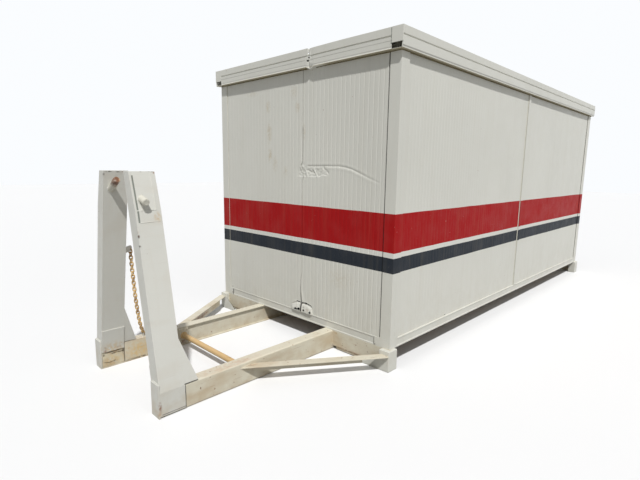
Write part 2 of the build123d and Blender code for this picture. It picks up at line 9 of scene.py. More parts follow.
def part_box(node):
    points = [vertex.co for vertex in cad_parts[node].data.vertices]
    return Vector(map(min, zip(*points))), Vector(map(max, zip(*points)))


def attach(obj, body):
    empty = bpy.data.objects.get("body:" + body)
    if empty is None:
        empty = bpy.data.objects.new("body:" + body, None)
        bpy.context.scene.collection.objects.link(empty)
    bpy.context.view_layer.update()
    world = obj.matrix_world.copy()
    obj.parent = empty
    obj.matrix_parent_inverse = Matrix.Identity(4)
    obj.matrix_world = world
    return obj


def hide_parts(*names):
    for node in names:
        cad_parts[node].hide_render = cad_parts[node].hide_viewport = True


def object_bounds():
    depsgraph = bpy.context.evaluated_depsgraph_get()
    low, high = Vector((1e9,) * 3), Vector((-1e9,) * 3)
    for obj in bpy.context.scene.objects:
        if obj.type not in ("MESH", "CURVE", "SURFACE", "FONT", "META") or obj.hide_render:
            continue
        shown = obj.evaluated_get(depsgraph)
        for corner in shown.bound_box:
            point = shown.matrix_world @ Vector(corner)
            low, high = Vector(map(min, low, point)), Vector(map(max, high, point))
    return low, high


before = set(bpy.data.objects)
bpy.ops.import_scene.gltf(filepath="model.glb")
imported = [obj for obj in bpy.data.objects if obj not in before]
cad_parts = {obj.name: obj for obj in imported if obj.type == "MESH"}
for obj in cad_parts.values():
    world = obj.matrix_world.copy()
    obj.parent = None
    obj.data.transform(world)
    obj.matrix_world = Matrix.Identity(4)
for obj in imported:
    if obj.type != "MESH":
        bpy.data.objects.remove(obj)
cad_low, cad_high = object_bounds()

# The looks of the portable site cabin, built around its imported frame. Metres.

# Camera, fitted to the edges in the photo
camera_place = (3.218, -4.770, 1.675)
camera_yaw = 44.251
camera_pitch = 9.222
camera_roll = 0.845
camera_lens = 24.70
sensor_width = 36.0

# Light: the sun's direction follows the shadows in the photo, the fill lights the long side
sun_from = (0.455, -0.36, 0.82)
sun_strength = 3.12
sun_softness = 2.0
fill_from = (0.95, -0.10, 0.32)
fill_strength = 0.17
fill_softness = 70.0
sky_strength = 0.285
sky_colour = (0.96, 0.98, 1.0, 1)
floor_lighting = (0.34, 0.34, 0.33, 1)
floor_seen = (0.86, 0.86, 0.86, 1)
floor_half = 40.0

# Bands of paint round the cabin
dark_band_low = 0.83
dark_band_high = 0.96
red_band_low = 0.995
red_band_high = 1.32

# Profile of the wall sheets
rib_pitch = 0.050
rib_groove = 0.014
rib_depth = 0.0016
side_rib_depth = 0.0010
side_recess = 0.008
sheet_rim = 0.0045
sheet_gap = 0.003
seal_step = 0.09
wall_step = 0.19
end_set_back = 0.0015
post_cover_end = 0.110

# Folded edges sharper than this angle are rounded, by default to this width
sharp_angle = math.radians(38)
edge_width = 0.0012
edge_widths = {"corner_feet": 0.006, "roof_beam_left": 0.0001}
merge_reach = 0.00002

# Places read from the frame
front_low, front_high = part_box("front_wall_panels")
side_low, side_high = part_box("right_wall_panels")
rear_low, rear_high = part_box("rear_wall_panels")
rear_top_low, rear_top_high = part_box("rear_wall_top_panel")
beam_low, beam_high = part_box("floor_beam_front")
side_beam_low, side_beam_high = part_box("floor_beam_right")
corner_low, corner_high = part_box("corner_posts")
roof_low, roof_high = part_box("roof_beam_front")
post_low, post_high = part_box("hook_post_right")
bar_low, bar_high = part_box("hook_bar_stub_right")
rail_low, rail_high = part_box("skid_rail_right")
wall_side = corner_high.x
wall_front = corner_low.y
wall_rear = corner_high.y
wall_middle = (wall_front + wall_rear) / 2
wall_bottom = front_low.z
wall_top = front_high.z
side_face = side_high.x - side_recess
front_joint = 0.130


# Materials


def linear(red, green, blue):
    """A colour given in screen values from 0 to 255, as Blender's linear one."""
    shares = [value / 255 for value in (red, green, blue)]
    return tuple(s / 12.92 if s <= 0.04045 else ((s + 0.055) / 1.055) ** 2.4 for s in shares) + (1.0,)


class Nodes:
    """Short calls that add nodes to the tree of a material or a world."""

    def __init__(self, owner):
        owner.use_nodes = True
        self.nodes = owner.node_tree.nodes
        self.links = owner.node_tree.links

    def feed(self, node, inputs):
        """Sets a node's inputs to values, or links them to other nodes' outputs."""
        for key, value in inputs.items():
            if isinstance(value, bpy.types.NodeSocket):
                self.links.new(value, node.inputs[key])
            else:
                node.inputs[key].default_value = value
        return node

    def add(self, kind, inputs):
        return self.feed(self.nodes.new("ShaderNode" + kind), inputs)

    def spread(self, value, low, high, to_low=0.0, to_high=1.0):
        """The value's range from low to high, stretched over another and held beyond it."""
        ranges = {"Value": value, "From Min": low, "From Max": high, "To Min": to_low, "To Max": to_high}
        return self.add("MapRange", ranges).outputs["Result"]

    def calc(self, operation, first, second=0.0):
        made = self.add("Math", {0: first, 1: second})
        made.operation = operation
        return made.outputs[0]

    def times(self, first, second):
        return self.calc("MULTIPLY", first, second)

    def mix(self, share, first, second, blend="MIX"):
        made = self.nodes.new("ShaderNodeMix")
        made.data_type = "RGBA"
        made.blend_type = blend
        return self.feed(made, {"Factor": share, 6: first, 7: second}).outputs[2]

    def seen_rays(self):
        """1 for camera, glossy and transmission rays, 0 for the ones that only light."""
        rays = self.add("LightPath", {}).outputs
        seen = self.calc("MAXIMUM", rays["Is Camera Ray"], rays["Is Glossy Ray"])
        return self.calc("MAXIMUM", seen, rays["Is Transmission Ray"])


class Finish(Nodes):
    """A procedural material: a Principled shader with noise, spots and relief placed in the frame."""

    def __init__(self, name, roughness, metallic=0.0):
        self.material = bpy.data.materials.new(name)
        super().__init__(self.material)
        self.shader = self.nodes["Principled BSDF"]
        self.feed(self.shader, {"Roughness": roughness, "Metallic": metallic})
        self.place = self.add("TexCoord", {}).outputs["Object"]
        self.height = self.add("SeparateXYZ", {0: self.place}).outputs[2]

    def grain(self, scale, detail, shift, stretch=(1, 1, 1)):
        """Noise about 0.5; a stretch below 1 draws it out along that axis."""
        place = {"Vector": self.place, "Scale": stretch, "Location": (shift, shift, shift)}
        moved = self.add("Mapping", place).outputs[0]
        return self.add("TexNoise", {"Vector": moved, "Scale": scale, "Detail": detail}).outputs["Fac"]

    def patches(self, scale, detail, shift, low, high, to_low=0.0, to_high=1.0, stretch=(1, 1, 1)):
        """Noise, with its range from low to high stretched over another."""
        return self.spread(self.grain(scale, detail, shift, stretch), low, high, to_low, to_high)

    def spot(self, centre, size):
        """1 at a point of the frame, falling to 0 at the size's edge; size may differ by axis."""
        reach = self.place
        for operation, other in (("SUBTRACT", centre), ("DIVIDE", size), ("LENGTH", (0, 0, 0))):
            made = self.add("VectorMath", {0: reach, 1: other})
            made.operation = operation
            reach = made.outputs[0]
        return self.spread(made.outputs["Value"], 1.0, 0.2)

    def bump(self, height, strength, distance):
        """Relief from a height, laid over the relief that is there already."""
        made = self.add("Bump", {"Strength": strength, "Distance": distance, "Height": height})
        normal = self.shader.inputs["Normal"]
        if normal.is_linked:
            self.links.new(normal.links[0].from_socket, made.inputs["Normal"])
        self.links.new(made.outputs[0], normal)

    def colour(self, value):
        self.feed(self.shader, {"Base Color": value})

    def gloss(self, scale, detail, shift, low, high):
        """Roughness that comes and goes between two values."""
        self.feed(self.shader, {"Roughness": self.patches(scale, detail, shift, 0.3, 0.7, low, high)})


def rust_colour(look):
    """Brown rust with orange and dark patches."""
    brown = look.mix(look.patches(26, 6, 0, 0.35, 0.65), linear(104, 62, 38), linear(158, 104, 62))
    return look.mix(look.patches(70, 5, 3, 0.55, 0.75), brown, linear(62, 40, 30))


def weathered(look, base, dirt, dirt_top, dirt_share, rust_level):
    """Paint with soft tone changes, dirt that rises from the ground, and flecks of rust."""
    tone = look.patches(0.9, 3, 0, 0.35, 0.65, 0.975, 1.02)
    grey = look.add("CombineColor", {0: tone, 1: tone, 2: tone}).outputs[0]
    painted = look.mix(1.0, base, grey, "MULTIPLY")
    painted = look.mix(look.patches(16, 5, 5, 0.50, 0.78, 0.0, 0.07, (1, 1, 0.07)), painted, dirt)
    rising = look.spread(look.height, dirt_top, 0.0)
    soiled = look.times(look.times(rising, look.patches(11, 7, 9, 0.36, 0.66)), dirt_share)
    painted = look.mix(soiled, painted, dirt)
    flecks = look.patches(38, 8, 17, rust_level, rust_level + 0.035)
    look.bump(flecks, 0.25, 0.0008)
    return look.mix(look.times(flecks, 0.85), painted, rust_colour(look))


def stained(look, colour, stains):
    """Lays stains over a colour; each has a centre, a size by axis, a strength and a tint."""
    for centre, size, share, tint in stains:
        rough_edge = look.patches(45, 6, centre[0] * 10, 0.36, 0.60)
        mark = look.times(look.spot(centre, size), rough_edge)
        colour = look.mix(look.times(mark, share), colour, tint)
    return colour


def banded(look, base):
    """The two bands round the cabin, with wavy edges, faded and chipped, and duller than the paint."""
    height = look.calc("ADD", look.height, look.patches(3, 2, 2, 0.3, 0.7, -0.0015, 0.0015))
    ramp = look.add("ValToRGB", {0: look.calc("DIVIDE", height, cad_high.z)})
    ramp.color_ramp.interpolation = "CONSTANT"
    stops = ramp.color_ramp.elements
    stops[0].color = base
    stops[1].position = dark_band_low / cad_high.z
    stops[1].color = linear(46, 51, 58)
    between = (dark_band_high, linear(222, 221, 214))
    for edge, tint in (between, (red_band_low, linear(164, 26, 28)), (red_band_high, base)):
        stops.new(edge / cad_high.z).color = tint
    colour = look.mix(look.patches(5, 5, 21, 0.45, 0.8, 0.0, 0.03), ramp.outputs[0], linear(205, 196, 186))
    over = look.calc("GREATER_THAN", look.height, dark_band_low)
    in_bands = look.times(over, look.calc("LESS_THAN", look.height, red_band_high))
    look.feed(look.shader, {"Specular IOR Level": look.spread(in_bands, 0, 1, 0.5, 0.05)})
    chips = look.times(look.patches(60, 6, 31, 0.735, 0.755), in_bands)
    return look.mix(chips, colour, linear(212, 208, 196))


def sheet_finish(name, base, stains=()):
    """Paint of the cabin's sheets, with the bands, a darker line under the eaves that is painted shade with
    some dirt, and stains.
    """
    look = Finish(name, 0.42)
    colour = weathered(look, banded(look, base), linear(168, 156, 126), 0.70, 0.16, 0.745)
    # Darker olive line at the eaves' height: painted shade with some dirt
    from_eave = look.calc("ABSOLUTE", look.calc("SUBTRACT", look.height, wall_top))
    colour = look.mix(look.spread(from_eave, 0.0025, 0.0015, 0.0, 0.75), colour, linear(150, 136, 98))
    look.colour(stained(look, colour, stains))
    look.gloss(7, 5, 40, 0.34, 0.52)
    look.bump(look.grain(2.2, 2, 50), 0.5, 0.004)
    look.bump(look.grain(420, 2, 60), 0.12, 0.0004)
    return look.material


def steel_paint_finish(name, base, dirt, rust_level, dirt_top, dirt_share, tan_share, marks=()):
    """Brushed or sprayed paint on welded steel, with tan stains and a wavy surface."""
    look = Finish(name, 0.45)
    colour = weathered(look, base, dirt, dirt_top, dirt_share, rust_level)
    tan_patches = look.patches(6, 7, 71, 0.53, 0.70, 0.0, tan_share, (1, 0.5, 1.6))
    colour = look.mix(tan_patches, colour, linear(172, 142, 98))
    scratches = look.patches(30, 4, 77, 0.66, 0.70, stretch=(0.3, 0.12, 4.0))
    colour = look.mix(look.times(scratches, tan_share), colour, rust_colour(look))
    look.colour(stained(look, colour, marks))
    look.gloss(9, 5, 80, 0.36, 0.62)
    look.bump(look.grain(9, 4, 85), 0.5, 0.003)
    look.bump(look.grain(260, 3, 90), 0.2, 0.0005)
    return look.material


def rusted_finish(name, paint_share, bright=linear(186, 138, 86), bright_from=0.36):
    """Bare rusted steel with remains of paint."""
    look = Finish(name, 0.78, 0.15)
    rest = look.patches(15, 8, 101, 0.56 - 0.2 * paint_share, 0.66 - 0.2 * paint_share)
    rusty = look.mix(look.patches(13, 6, 105, bright_from, bright_from + 0.26), rust_colour(look), bright)
    look.colour(look.mix(look.times(rest, paint_share), rusty, linear(206, 200, 180)))
    look.gloss(40, 6, 110, 0.62, 0.92)
    look.bump(look.grain(140, 8, 115), 0.7, 0.0012)
    return look.material


def roof_finish(name):
    """Dull painted sheet under dust."""
    look = Finish(name, 0.55)
    colour = weathered(look, linear(196, 194, 184), linear(116, 108, 88), 0.0, 0.0, 0.70)
    look.colour(look.mix(look.patches(1.7, 6, 121, 0.38, 0.68, 0.0, 0.5), colour, linear(138, 130, 110)))
    look.gloss(6, 5, 125, 0.45, 0.8)
    look.bump(look.grain(3, 3, 130), 0.5, 0.004)
    return look.material


def board_finish(name):
    """Plywood with its grain along the cabin."""
    look = Finish(name, 0.7)
    grain = look.patches(60, 6, 141, 0.3, 0.7, stretch=(1, 0.05, 1))
    wood = look.mix(grain, linear(134, 100, 66), linear(174, 138, 96))
    look.colour(look.mix(look.patches(3, 6, 145, 0.5, 0.8, 0.0, 0.5), wood, linear(92, 78, 62)))
    look.gloss(20, 4, 150, 0.6, 0.85)
    look.bump(grain, 0.3, 0.0006)
    return look.material


def rubber_finish(name, base, roughness):
    """Rubber, plastic or filler with dust in its grain; also the flat grey and near-black fills that stand in
    for shade.
    """
    look = Finish(name, roughness)
    look.colour(look.mix(look.patches(18, 6, 161, 0.5, 0.8, 0.0, 0.35), base, linear(120, 112, 98)))
    look.gloss(30, 4, 165, roughness - 0.08, roughness + 0.1)
    look.bump(look.grain(300, 3, 170), 0.3, 0.0004)
    return look.material


def zinc_finish(name):
    """Galvanised steel with patches of rust."""
    look = Finish(name, 0.5, 0.75)
    tone = look.mix(look.patches(90, 4, 181, 0.35, 0.65), linear(120, 118, 112), linear(168, 165, 156))
    rusty = look.times(look.patches(50, 7, 185, 0.54, 0.66), 0.8)
    look.colour(look.mix(rusty, tone, rust_colour(look)))
    look.gloss(60, 4, 190, 0.4, 0.75)
    look.bump(look.grain(220, 4, 195), 0.3, 0.0004)
    return look.material


# Stains: centre, size, strength and tint
tan = linear(176, 156, 118)
rust = linear(128, 78, 44)
dark = linear(58, 46, 38)
pale = linear(190, 160, 112)
post_dirt = linear(172, 150, 108)
skid_dirt = linear(168, 140, 98)
wall_stains = [
    ((x, front_low.y, z), (wide, 0.05, tall), share, tan)
    for x, z, wide, tall, share in (
        (-0.387, 2.284, 0.050, 0.070, 0.45), (-0.367, 2.027, 0.050, 0.140, 0.45),
        (-0.358, 1.806, 0.045, 0.090, 0.50), (-0.279, 1.716, 0.045, 0.100, 0.35),
        (0.003, 2.389, 0.070, 0.080, 0.25), (0.051, 2.248, 0.040, 0.065, 0.50),
        (0.145, 2.013, 0.024, 0.090, 0.40), (-0.634, 2.436, 0.130, 0.040, 0.20),
        (-0.120, 1.640, 0.045, 0.070, 0.25), (0.640, 0.680, 0.190, 0.130, 0.20),
    )
]
lobe_face = front_low.y - 0.01
wall_stains += [
    ((0.225, lobe_face, 0.292), (0.035, 0.05, 0.016), 0.60, rust),
    ((0.100, lobe_face, 0.278), (0.030, 0.05, 0.012), 0.60, rust),
    ((0.170, lobe_face, 0.310), (0.020, 0.05, 0.012), 0.45, dark),
]
post_marks = [
    ((0.345, -3.411, 1.334), (0.045, 0.030, 0.045), 0.75, pale),
    ((0.368, -3.557, 1.215), (0.02, 0.010, 0.016), 1.0, dark),
    ((0.381, -3.557, 1.150), (0.02, 0.010, 0.012), 1.0, dark),
    ((0.372, -3.557, 1.235), (0.02, 0.008, 0.030), 0.8, rust),
    ((0.260, -3.472, 1.638), (0.02, 0.014, 0.008), 0.9, dark),
    ((0.257, -3.405, 1.638), (0.02, 0.022, 0.007), 0.9, dark),
    ((0.257, -3.387, 1.630), (0.02, 0.010, 0.010), 0.9, rust),
    ((-0.180, -3.525, 1.632), (0.02, 0.034, 0.006), 1.0, dark),
    ((-0.180, -3.455, 1.630), (0.02, 0.022, 0.006), 1.0, dark),
    ((-0.184, -3.557, 1.612), (0.02, 0.010, 0.016), 0.9, dark),
    ((-0.180, -3.421, 1.632), (0.02, 0.010, 0.008), 0.8, rust),
    ((-0.465, -3.47, 0.150), (0.04, 0.120, 0.100), 0.75, linear(196, 168, 118)),
    ((-0.467, -3.535, 0.150), (0.03, 0.018, 0.050), 0.80, rust),
    ((-0.467, -3.552, 0.132), (0.03, 0.014, 0.014), 1.0, dark),
    ((-0.467, -3.430, 0.160), (0.03, 0.040, 0.014), 0.60, rust),
    ((0.573, -3.560, 0.085), (0.03, 0.016, 0.055), 0.85, rust),
    ((0.560, -3.565, 0.035), (0.05, 0.020, 0.030), 0.60, linear(176, 138, 92)),
]
foot_marks = [
    ((-0.467, -3.46, 0.070), (0.04, 0.13, 0.11), 0.85, linear(208, 188, 146)),
    ((-0.467, -3.50, 0.040), (0.04, 0.09, 0.05), 0.60, linear(186, 150, 104)),
    ((-0.467, -3.47, 0.128), (0.04, 0.10, 0.018), 0.80, linear(150, 104, 66)),
    ((-0.467, -3.385, 0.110), (0.03, 0.012, 0.040), 0.95, dark),
]
bar_marks = [
    ((-0.098, -3.499, 1.576), (0.090, 0.090, 0.090), 1.0, linear(136, 90, 56)),
    ((-0.096, -3.499, 1.574), (0.080, 0.080, 0.080), 1.0, linear(122, 78, 48)),
    ((-0.094, -3.506, 1.572), (0.060, 0.050, 0.060), 1.0, linear(104, 64, 40)),
    # Dark brown under the torn tip: rust with painted shade
    ((-0.116, -3.500, 1.546), (0.050, 0.060, 0.016), 1.0, linear(70, 48, 34)),
    ((-0.084, -3.474, 1.584), (0.030, 0.018, 0.030), 1.0, linear(224, 196, 156)),
    ((-0.388, -3.499, 1.413), (0.040, 0.060, 0.040), 1.0, linear(134, 84, 50)),
]
skid_marks = [
    ((sign * x, y, z), size, share, tint)
    for x, y, z, size, share, tint in (
        (0.50, -3.2, 0.176, (0.07, 0.25, 0.006), 0.55, linear(176, 128, 92)),
        (0.80, wall_front - 0.001, 0.030, (0.34, 0.02, 0.014), 0.85, rust),
    )
    for sign in (1, -1)
]
skid_marks += [
    ((-0.740, -2.530, 0.114), (0.08, 0.11, 0.034), 1.0, linear(130, 80, 48)),
    ((-0.790, -2.460, 0.114), (0.08, 0.11, 0.034), 1.0, linear(104, 60, 36)),
    ((-0.820, -2.420, 0.116), (0.08, 0.10, 0.032), 1.0, linear(112, 66, 40)),
    ((-0.860, -2.360, 0.120), (0.07, 0.10, 0.026), 1.0, linear(158, 106, 68)),
    ((-0.467, -3.25, 0.085), (0.04, 0.18, 0.12), 0.85, linear(208, 180, 130)),
    ((-0.470, -3.20, 0.070), (0.04, 0.14, 0.09), 0.80, linear(210, 184, 134)),
    ((-0.467, -3.26, 0.012), (0.04, 0.16, 0.012), 0.9, dark),
    ((-0.462, -2.84, 0.045), (0.03, 0.06, 0.04), 0.7, rust),
    ((0.53, -2.95, 0.180), (0.07, 0.35, 0.006), 0.45, linear(196, 152, 120)),
    ((0.60, wall_front - 0.002, 0.160), (0.05, 0.02, 0.02), 0.6, pale),
]
cream = "cream_paint"
paint = steel_paint_finish
looks = {
    name: finish(name, *values)
    for name, finish, *values in (
        (cream, sheet_finish, linear(213, 212, 203), wall_stains),
        ("post_paint", paint, linear(208, 207, 199), post_dirt, 0.735, 0.26, 0.45, 0.07, post_marks),
        ("bar_paint", paint, linear(210, 207, 194), post_dirt, 0.72, 0.26, 0.45, 0.15, bar_marks),
        ("foot_paint", paint, linear(208, 200, 178), skid_dirt, 0.68, 0.20, 0.50, 0.45, foot_marks),
        ("skid_paint", paint, linear(212, 206, 187), skid_dirt, 0.68, 0.20, 0.45, 0.36, skid_marks),
        ("rusted_steel", rusted_finish, 0.35),
        ("chain_steel", rusted_finish, 0.0, linear(222, 190, 132), 0.28),
        ("tube_paint", paint, linear(206, 174, 124), linear(150, 112, 70), 0.70, 0.12, 0.50, 0.30),
        ("roof_sheet", roof_finish),
        ("floor_board", board_finish),
        ("door_paint", sheet_finish, linear(204, 203, 196)),
        ("handle_plastic", rubber_finish, linear(34, 34, 36), 0.42),
        ("roller_steel", rusted_finish, 0.1),
        ("seal_rubber", rubber_finish, linear(30, 30, 31), 0.7),
        ("sealant", rubber_finish, linear(200, 197, 184), 0.6),
        # Seal under the eaves in dark olive: a seal strip carrying painted shade
        ("eave_seal", rubber_finish, linear(112, 102, 72), 0.8),
        # Grey fill for the posts' slots and a roof cap's gap: painted shadow
        ("slot_filler", rubber_finish, linear(128, 132, 124), 0.8),
        # Near-black backing behind tears and cracks: painted shade
        ("burnt_core", rubber_finish, linear(20, 17, 15), 0.9),
        ("zinc", zinc_finish),
        ("old_rust", rusted_finish, 0.0),
    )
}


# Shapes


def ripple(x, y, z):
    """Smooth noise between about -1 and 1, the same at each run."""
    return noise.noise(Vector((x, y, z)))


def circle(centre, across, other, radius, sides, turn=0.0):
    """Points round a centre, in the plane of two directions."""
    turns = [turn + 2 * math.pi * side / sides for side in range(sides)]
    return [centre + radius * (across * math.cos(angle) + other * math.sin(angle)) for angle in turns]


def linked(name, data):
    """A new object in the scene."""
    made = bpy.data.objects.new(name, data)
    bpy.context.scene.collection.objects.link(made)
    return made


def mirrored(point, sign):
    """The point itself, or with sign -1 the same point on the left side."""
    return Vector((sign * point[0], point[1], point[2]))


class Shape:
    """Points and faces that are gathered for one piece."""

    def __init__(self):
        self.points = []
        self.faces = []

    def add(self, points, faces):
        start = len(self.points)
        self.points += [Vector(p) for p in points]
        self.faces += [[start + index for index in face] for face in faces]

    def rings(self, rings, closed=False):
        """A skin over rings of points, with a flat cap at both ends unless it is closed."""
        count = len(rings[0])
        faces = []
        for row in range(len(rings) if closed else len(rings) - 1):
            below = row * count
            above = (row + 1) % len(rings) * count
            for side in range(count):
                after = (side + 1) % count
                faces.append((below + side, below + after, above + after, above + side))
        if not closed:
            faces.append(tuple(reversed(range(count))))
            faces.append(tuple((len(rings) - 1) * count + side for side in range(count)))
        self.add([p for ring in rings for p in ring], faces)

    def block(self, low, high):
        """A block between two corners, given in either order."""
        x0, y0, z0 = (min(a, b) for a, b in zip(low, high))
        x1, y1, z1 = (max(a, b) for a, b in zip(low, high))
        self.rings([[(x, y, z) for x, y in ((x0, y0), (x1, y0), (x1, y1), (x0, y1))] for z in (z0, z1)])

    def tube(self, path, radii, sides, closed=False):
        """A round bar along a path; the radii are one number or one for each point."""
        path = [Vector(p) for p in path]
        if isinstance(radii, (int, float)):
            radii = [radii] * len(path)
        rings = []
        across = None
        for number, centre in enumerate(path):
            before = path[number - 1 if closed else max(number - 1, 0)]
            after = path[(number + 1) % len(path) if closed else min(number + 1, len(path) - 1)]
            along = (after - before).normalized()
            if across is None:
                across = along.orthogonal().normalized()
            across = (across - across.dot(along) * along).normalized()
            rings.append(circle(centre, across, along.cross(across), radii[number], sides))
        self.rings(rings, closed)

    def disc(self, centre, axis, steps, sides, turn=0.0):
        """A turned form: steps are (distance along the axis, radius)."""
        axis = Vector(axis).normalized()
        across = axis.orthogonal().normalized()
        other = axis.cross(across)
        centre = Vector(centre)
        self.rings([circle(centre + axis * up, across, other, wide, sides, turn) for up, wide in steps])

    def bolt(self, centre, axis, size):
        """A hexagon head of this width on its washer, with the end of its thread."""
        washer = [(-0.001 / size, 0.62), (0.10, 0.62), (0.12, 0.56)]
        head = [(0.11, 0.50), (0.42, 0.50), (0.50, 0.42)]
        thread = [(0.49, 0.20), (0.60, 0.18), (0.63, 0.12)]
        for steps, sides, turn in ((washer, 18, 0.0), (head, 6, 0.3), (thread, 12, 0.0)):
            self.disc(centre, axis, [(size * up, size * wide) for up, wide in steps], sides, turn)

    def rivet(self, centre, axis, radius):
        dome = [(0.25, 0.97), (0.55, 0.72), (0.7, 0.3)]
        steps = [(-0.001, radius)] + [(radius * up, radius * wide) for up, wide in dome]
        self.disc(centre, axis, steps, 10)

    def weld(self, start, end, radius):
        """A weld bead: a low bar whose thickness comes and goes like its ripples."""
        start, end = Vector(start), Vector(end)
        count = max(4, int((end - start).length / (radius * 0.9)))
        path = []
        radii = []
        for number in range(count + 1):
            at = start.lerp(end, number / count)
            wander = noise.noise(at * 60) * radius * 0.35
            path.append(at + Vector((wander, wander * 0.5, wander)))
            rise = 0.82 + 0.16 * (number % 2) + 0.25 * noise.noise(at * 31)
            radii.append(radius * rise * (0.5 if number in (0, count) else 1.0))
        self.tube(path, radii, 6)

    def weld_both(self, start, end, radius):
        """The same bead on the right side and on the left."""
        for sign in (1, -1):
            self.weld(mirrored(start, sign), mirrored(end, sign), radius)

    def make(self, name, look, slot=None, replaced=(), smooth=False, bevel=0.0):
        """Turns what was gathered into a piece that rides on the cabin."""
        mesh = bpy.data.meshes.new(name)
        mesh.from_pydata([tuple(p) for p in self.points], [], self.faces)
        work = bmesh.new()
        work.from_mesh(mesh)
        bmesh.ops.recalc_face_normals(work, faces=work.faces)
        work.to_mesh(mesh)
        work.free()
        mesh.update()
        mesh.materials.append(looks[look])
        piece = linked(name, mesh)
        if smooth:
            mesh.shade_smooth()
            mesh.set_sharp_from_angle(angle=sharp_angle)
        if bevel:
            soften(piece, bevel)
        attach(piece, "root")
        if replaced:
            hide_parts(*replaced)
        return piece


def soften(piece, width, weld=False):
    """Rounds the sharp edges, as folded or rolled steel has them."""
    if weld:
        piece.modifiers.new("join", "WELD").merge_threshold = merge_reach
    edge = piece.modifiers.new("edge", "BEVEL")
    edge.width = width
    edge.segments = 2
    edge.limit_method = "ANGLE"
    edge.angle_limit = sharp_angle
    piece.modifiers.new("shading", "WEIGHTED_NORMAL")


def distance_to_line(point, line):
    """Distance in a plane from a point to a line through given points."""
    point = Vector(point)
    nearest = math.inf
    for start, end in zip(line, line[1:]):
        start, end = Vector(start), Vector(end)
        run = end - start
        share = max(0.0, min(1.0, (point - start).dot(run) / run.length_squared))
        nearest = min(nearest, (point - start - run * share).length)
    return nearest


def hump(distance, width):
    return math.exp(-((distance / width) ** 2))


def share_between(value, low, high):
    """0 at or below low, 1 at or above high; a high under low turns it round."""
    return max(0.0, min(1.0, (value - low) / (high - low)))


def steps_between(low, high, size):
    count = max(1, round((high - low) / size))
    return [low + (high - low) * number / count for number in range(count + 1)]


def graded(low, *parts):
    """Steps that start at low and go on through parts, each with its upper end and its step."""
    places = [low]
    for high, size in parts:
        places += steps_between(places[-1], high, size)[1:]
    return places


def drawn(shape, start, end, outward, outline, step, wave):
    """A folded or pressed strip: an outline of (inward, up) drawn along a line, a little wavy."""
    start, end = Vector(start), Vector(end)
    inward = -Vector(outward)
    deepest = max(depth for depth, up in outline)
    rings = []
    for share in steps_between(0, 1, step / (end - start).length):
        at = start.lerp(end, share)
        lift = wave * (1 + noise.noise(at * 2.3))
        ring = [(depth + (lift if depth < deepest else 0), up) for depth, up in outline]
        rings.append([at + inward * depth + Vector((0, 0, up)) for depth, up in ring])
    shape.rings(rings)


def upright(shape, outline, low, high, step, wander):
    """A strip that stands: an outline of (x, y) drawn from one height to another."""
    rings = []
    for up in steps_between(low, high, step):
        drifts = [wander * ripple(x * 9 + number, y * 9, up * 7) for number, (x, y) in enumerate(outline)]
        rings.append([(x + drift, y + drift, up) for (x, y), drift in zip(outline, drifts)])
    shape.rings(rings)


def placed(profile, x, y, x_sign, y_sign):
    """A profile moved to a place in the plan, and mirrored there by its signs."""
    return [(x + x_sign * u, y + y_sign * v) for u, v in profile]


# Walls: ribbed sheets with foam behind them


def rib_stations(low, high, on_land=0, fine=(0.0, 0.0)):
    """Places across a sheet: the corners of each rib's groove, and some on its land."""
    places = []
    for number in range(math.floor(low / rib_pitch), math.ceil(high / rib_pitch)):
        groove = number * rib_pitch
        count = 7 if fine[0] < groove < fine[1] else on_land
        places += [groove + rib_groove * share / 3 for share in range(4)]
        land = (rib_pitch - rib_groove) / (count + 1)
        places += [groove + rib_groove + land * share for share in range(1, count + 1)]
    inside = sorted(p for p in places if low + 1.5 * sheet_rim < p < high - 1.5 * sheet_rim)
    return [low, low + sheet_rim] + inside + [high - sheet_rim, high]


def rib_relief(across, depth):
    """How far the sheet lies behind its face at this place across it."""
    at = across % rib_pitch
    if at > rib_groove:
        return 0.0
    return depth * min(1.0, 3 * min(at, rib_groove - at) / rib_groove)


def sheet(shape, across, heights, place, thickness, depth, relief, torn=None, set_back=(end_set_back,) * 2):
    """A wall sheet: its ribbed face, its edges and a flat back. place gives (across, out, up)."""
    columns, rows = len(across), len(heights)
    ends = {0: set_back[0], columns - 1: set_back[1]}
    points = []
    for up in heights:
        for number, side in enumerate(across):
            out = relief(side, up) - rib_relief(side, depth) - ends.get(number, 0.0)
            points.append(place(side, out, up))
    faces = []
    for row in range(rows - 1):
        for col in range(columns - 1):
            middle = ((across[col] + across[col + 1]) / 2, (heights[row] + heights[row + 1]) / 2)
            if torn is None or not torn(*middle):
                low = row * columns + col
                faces.append((low, low + 1, low + columns + 1, low + columns))
    rim = [*range(columns)] + [row * columns + columns - 1 for row in range(1, rows)]
    rim += [(rows - 1) * columns + col for col in range(columns - 2, -1, -1)]
    rim += [row * columns for row in range(rows - 2, 0, -1)]
    start = len(points)
    points += [place(across[index % columns], -thickness, heights[index // columns]) for index in rim]
    for number, index in enumerate(rim):
        after = (number + 1) % len(rim)
        faces.append((index, start + number, start + after, rim[after]))
    faces.append(tuple(range(start, len(points))))
    shape.add(points, faces)


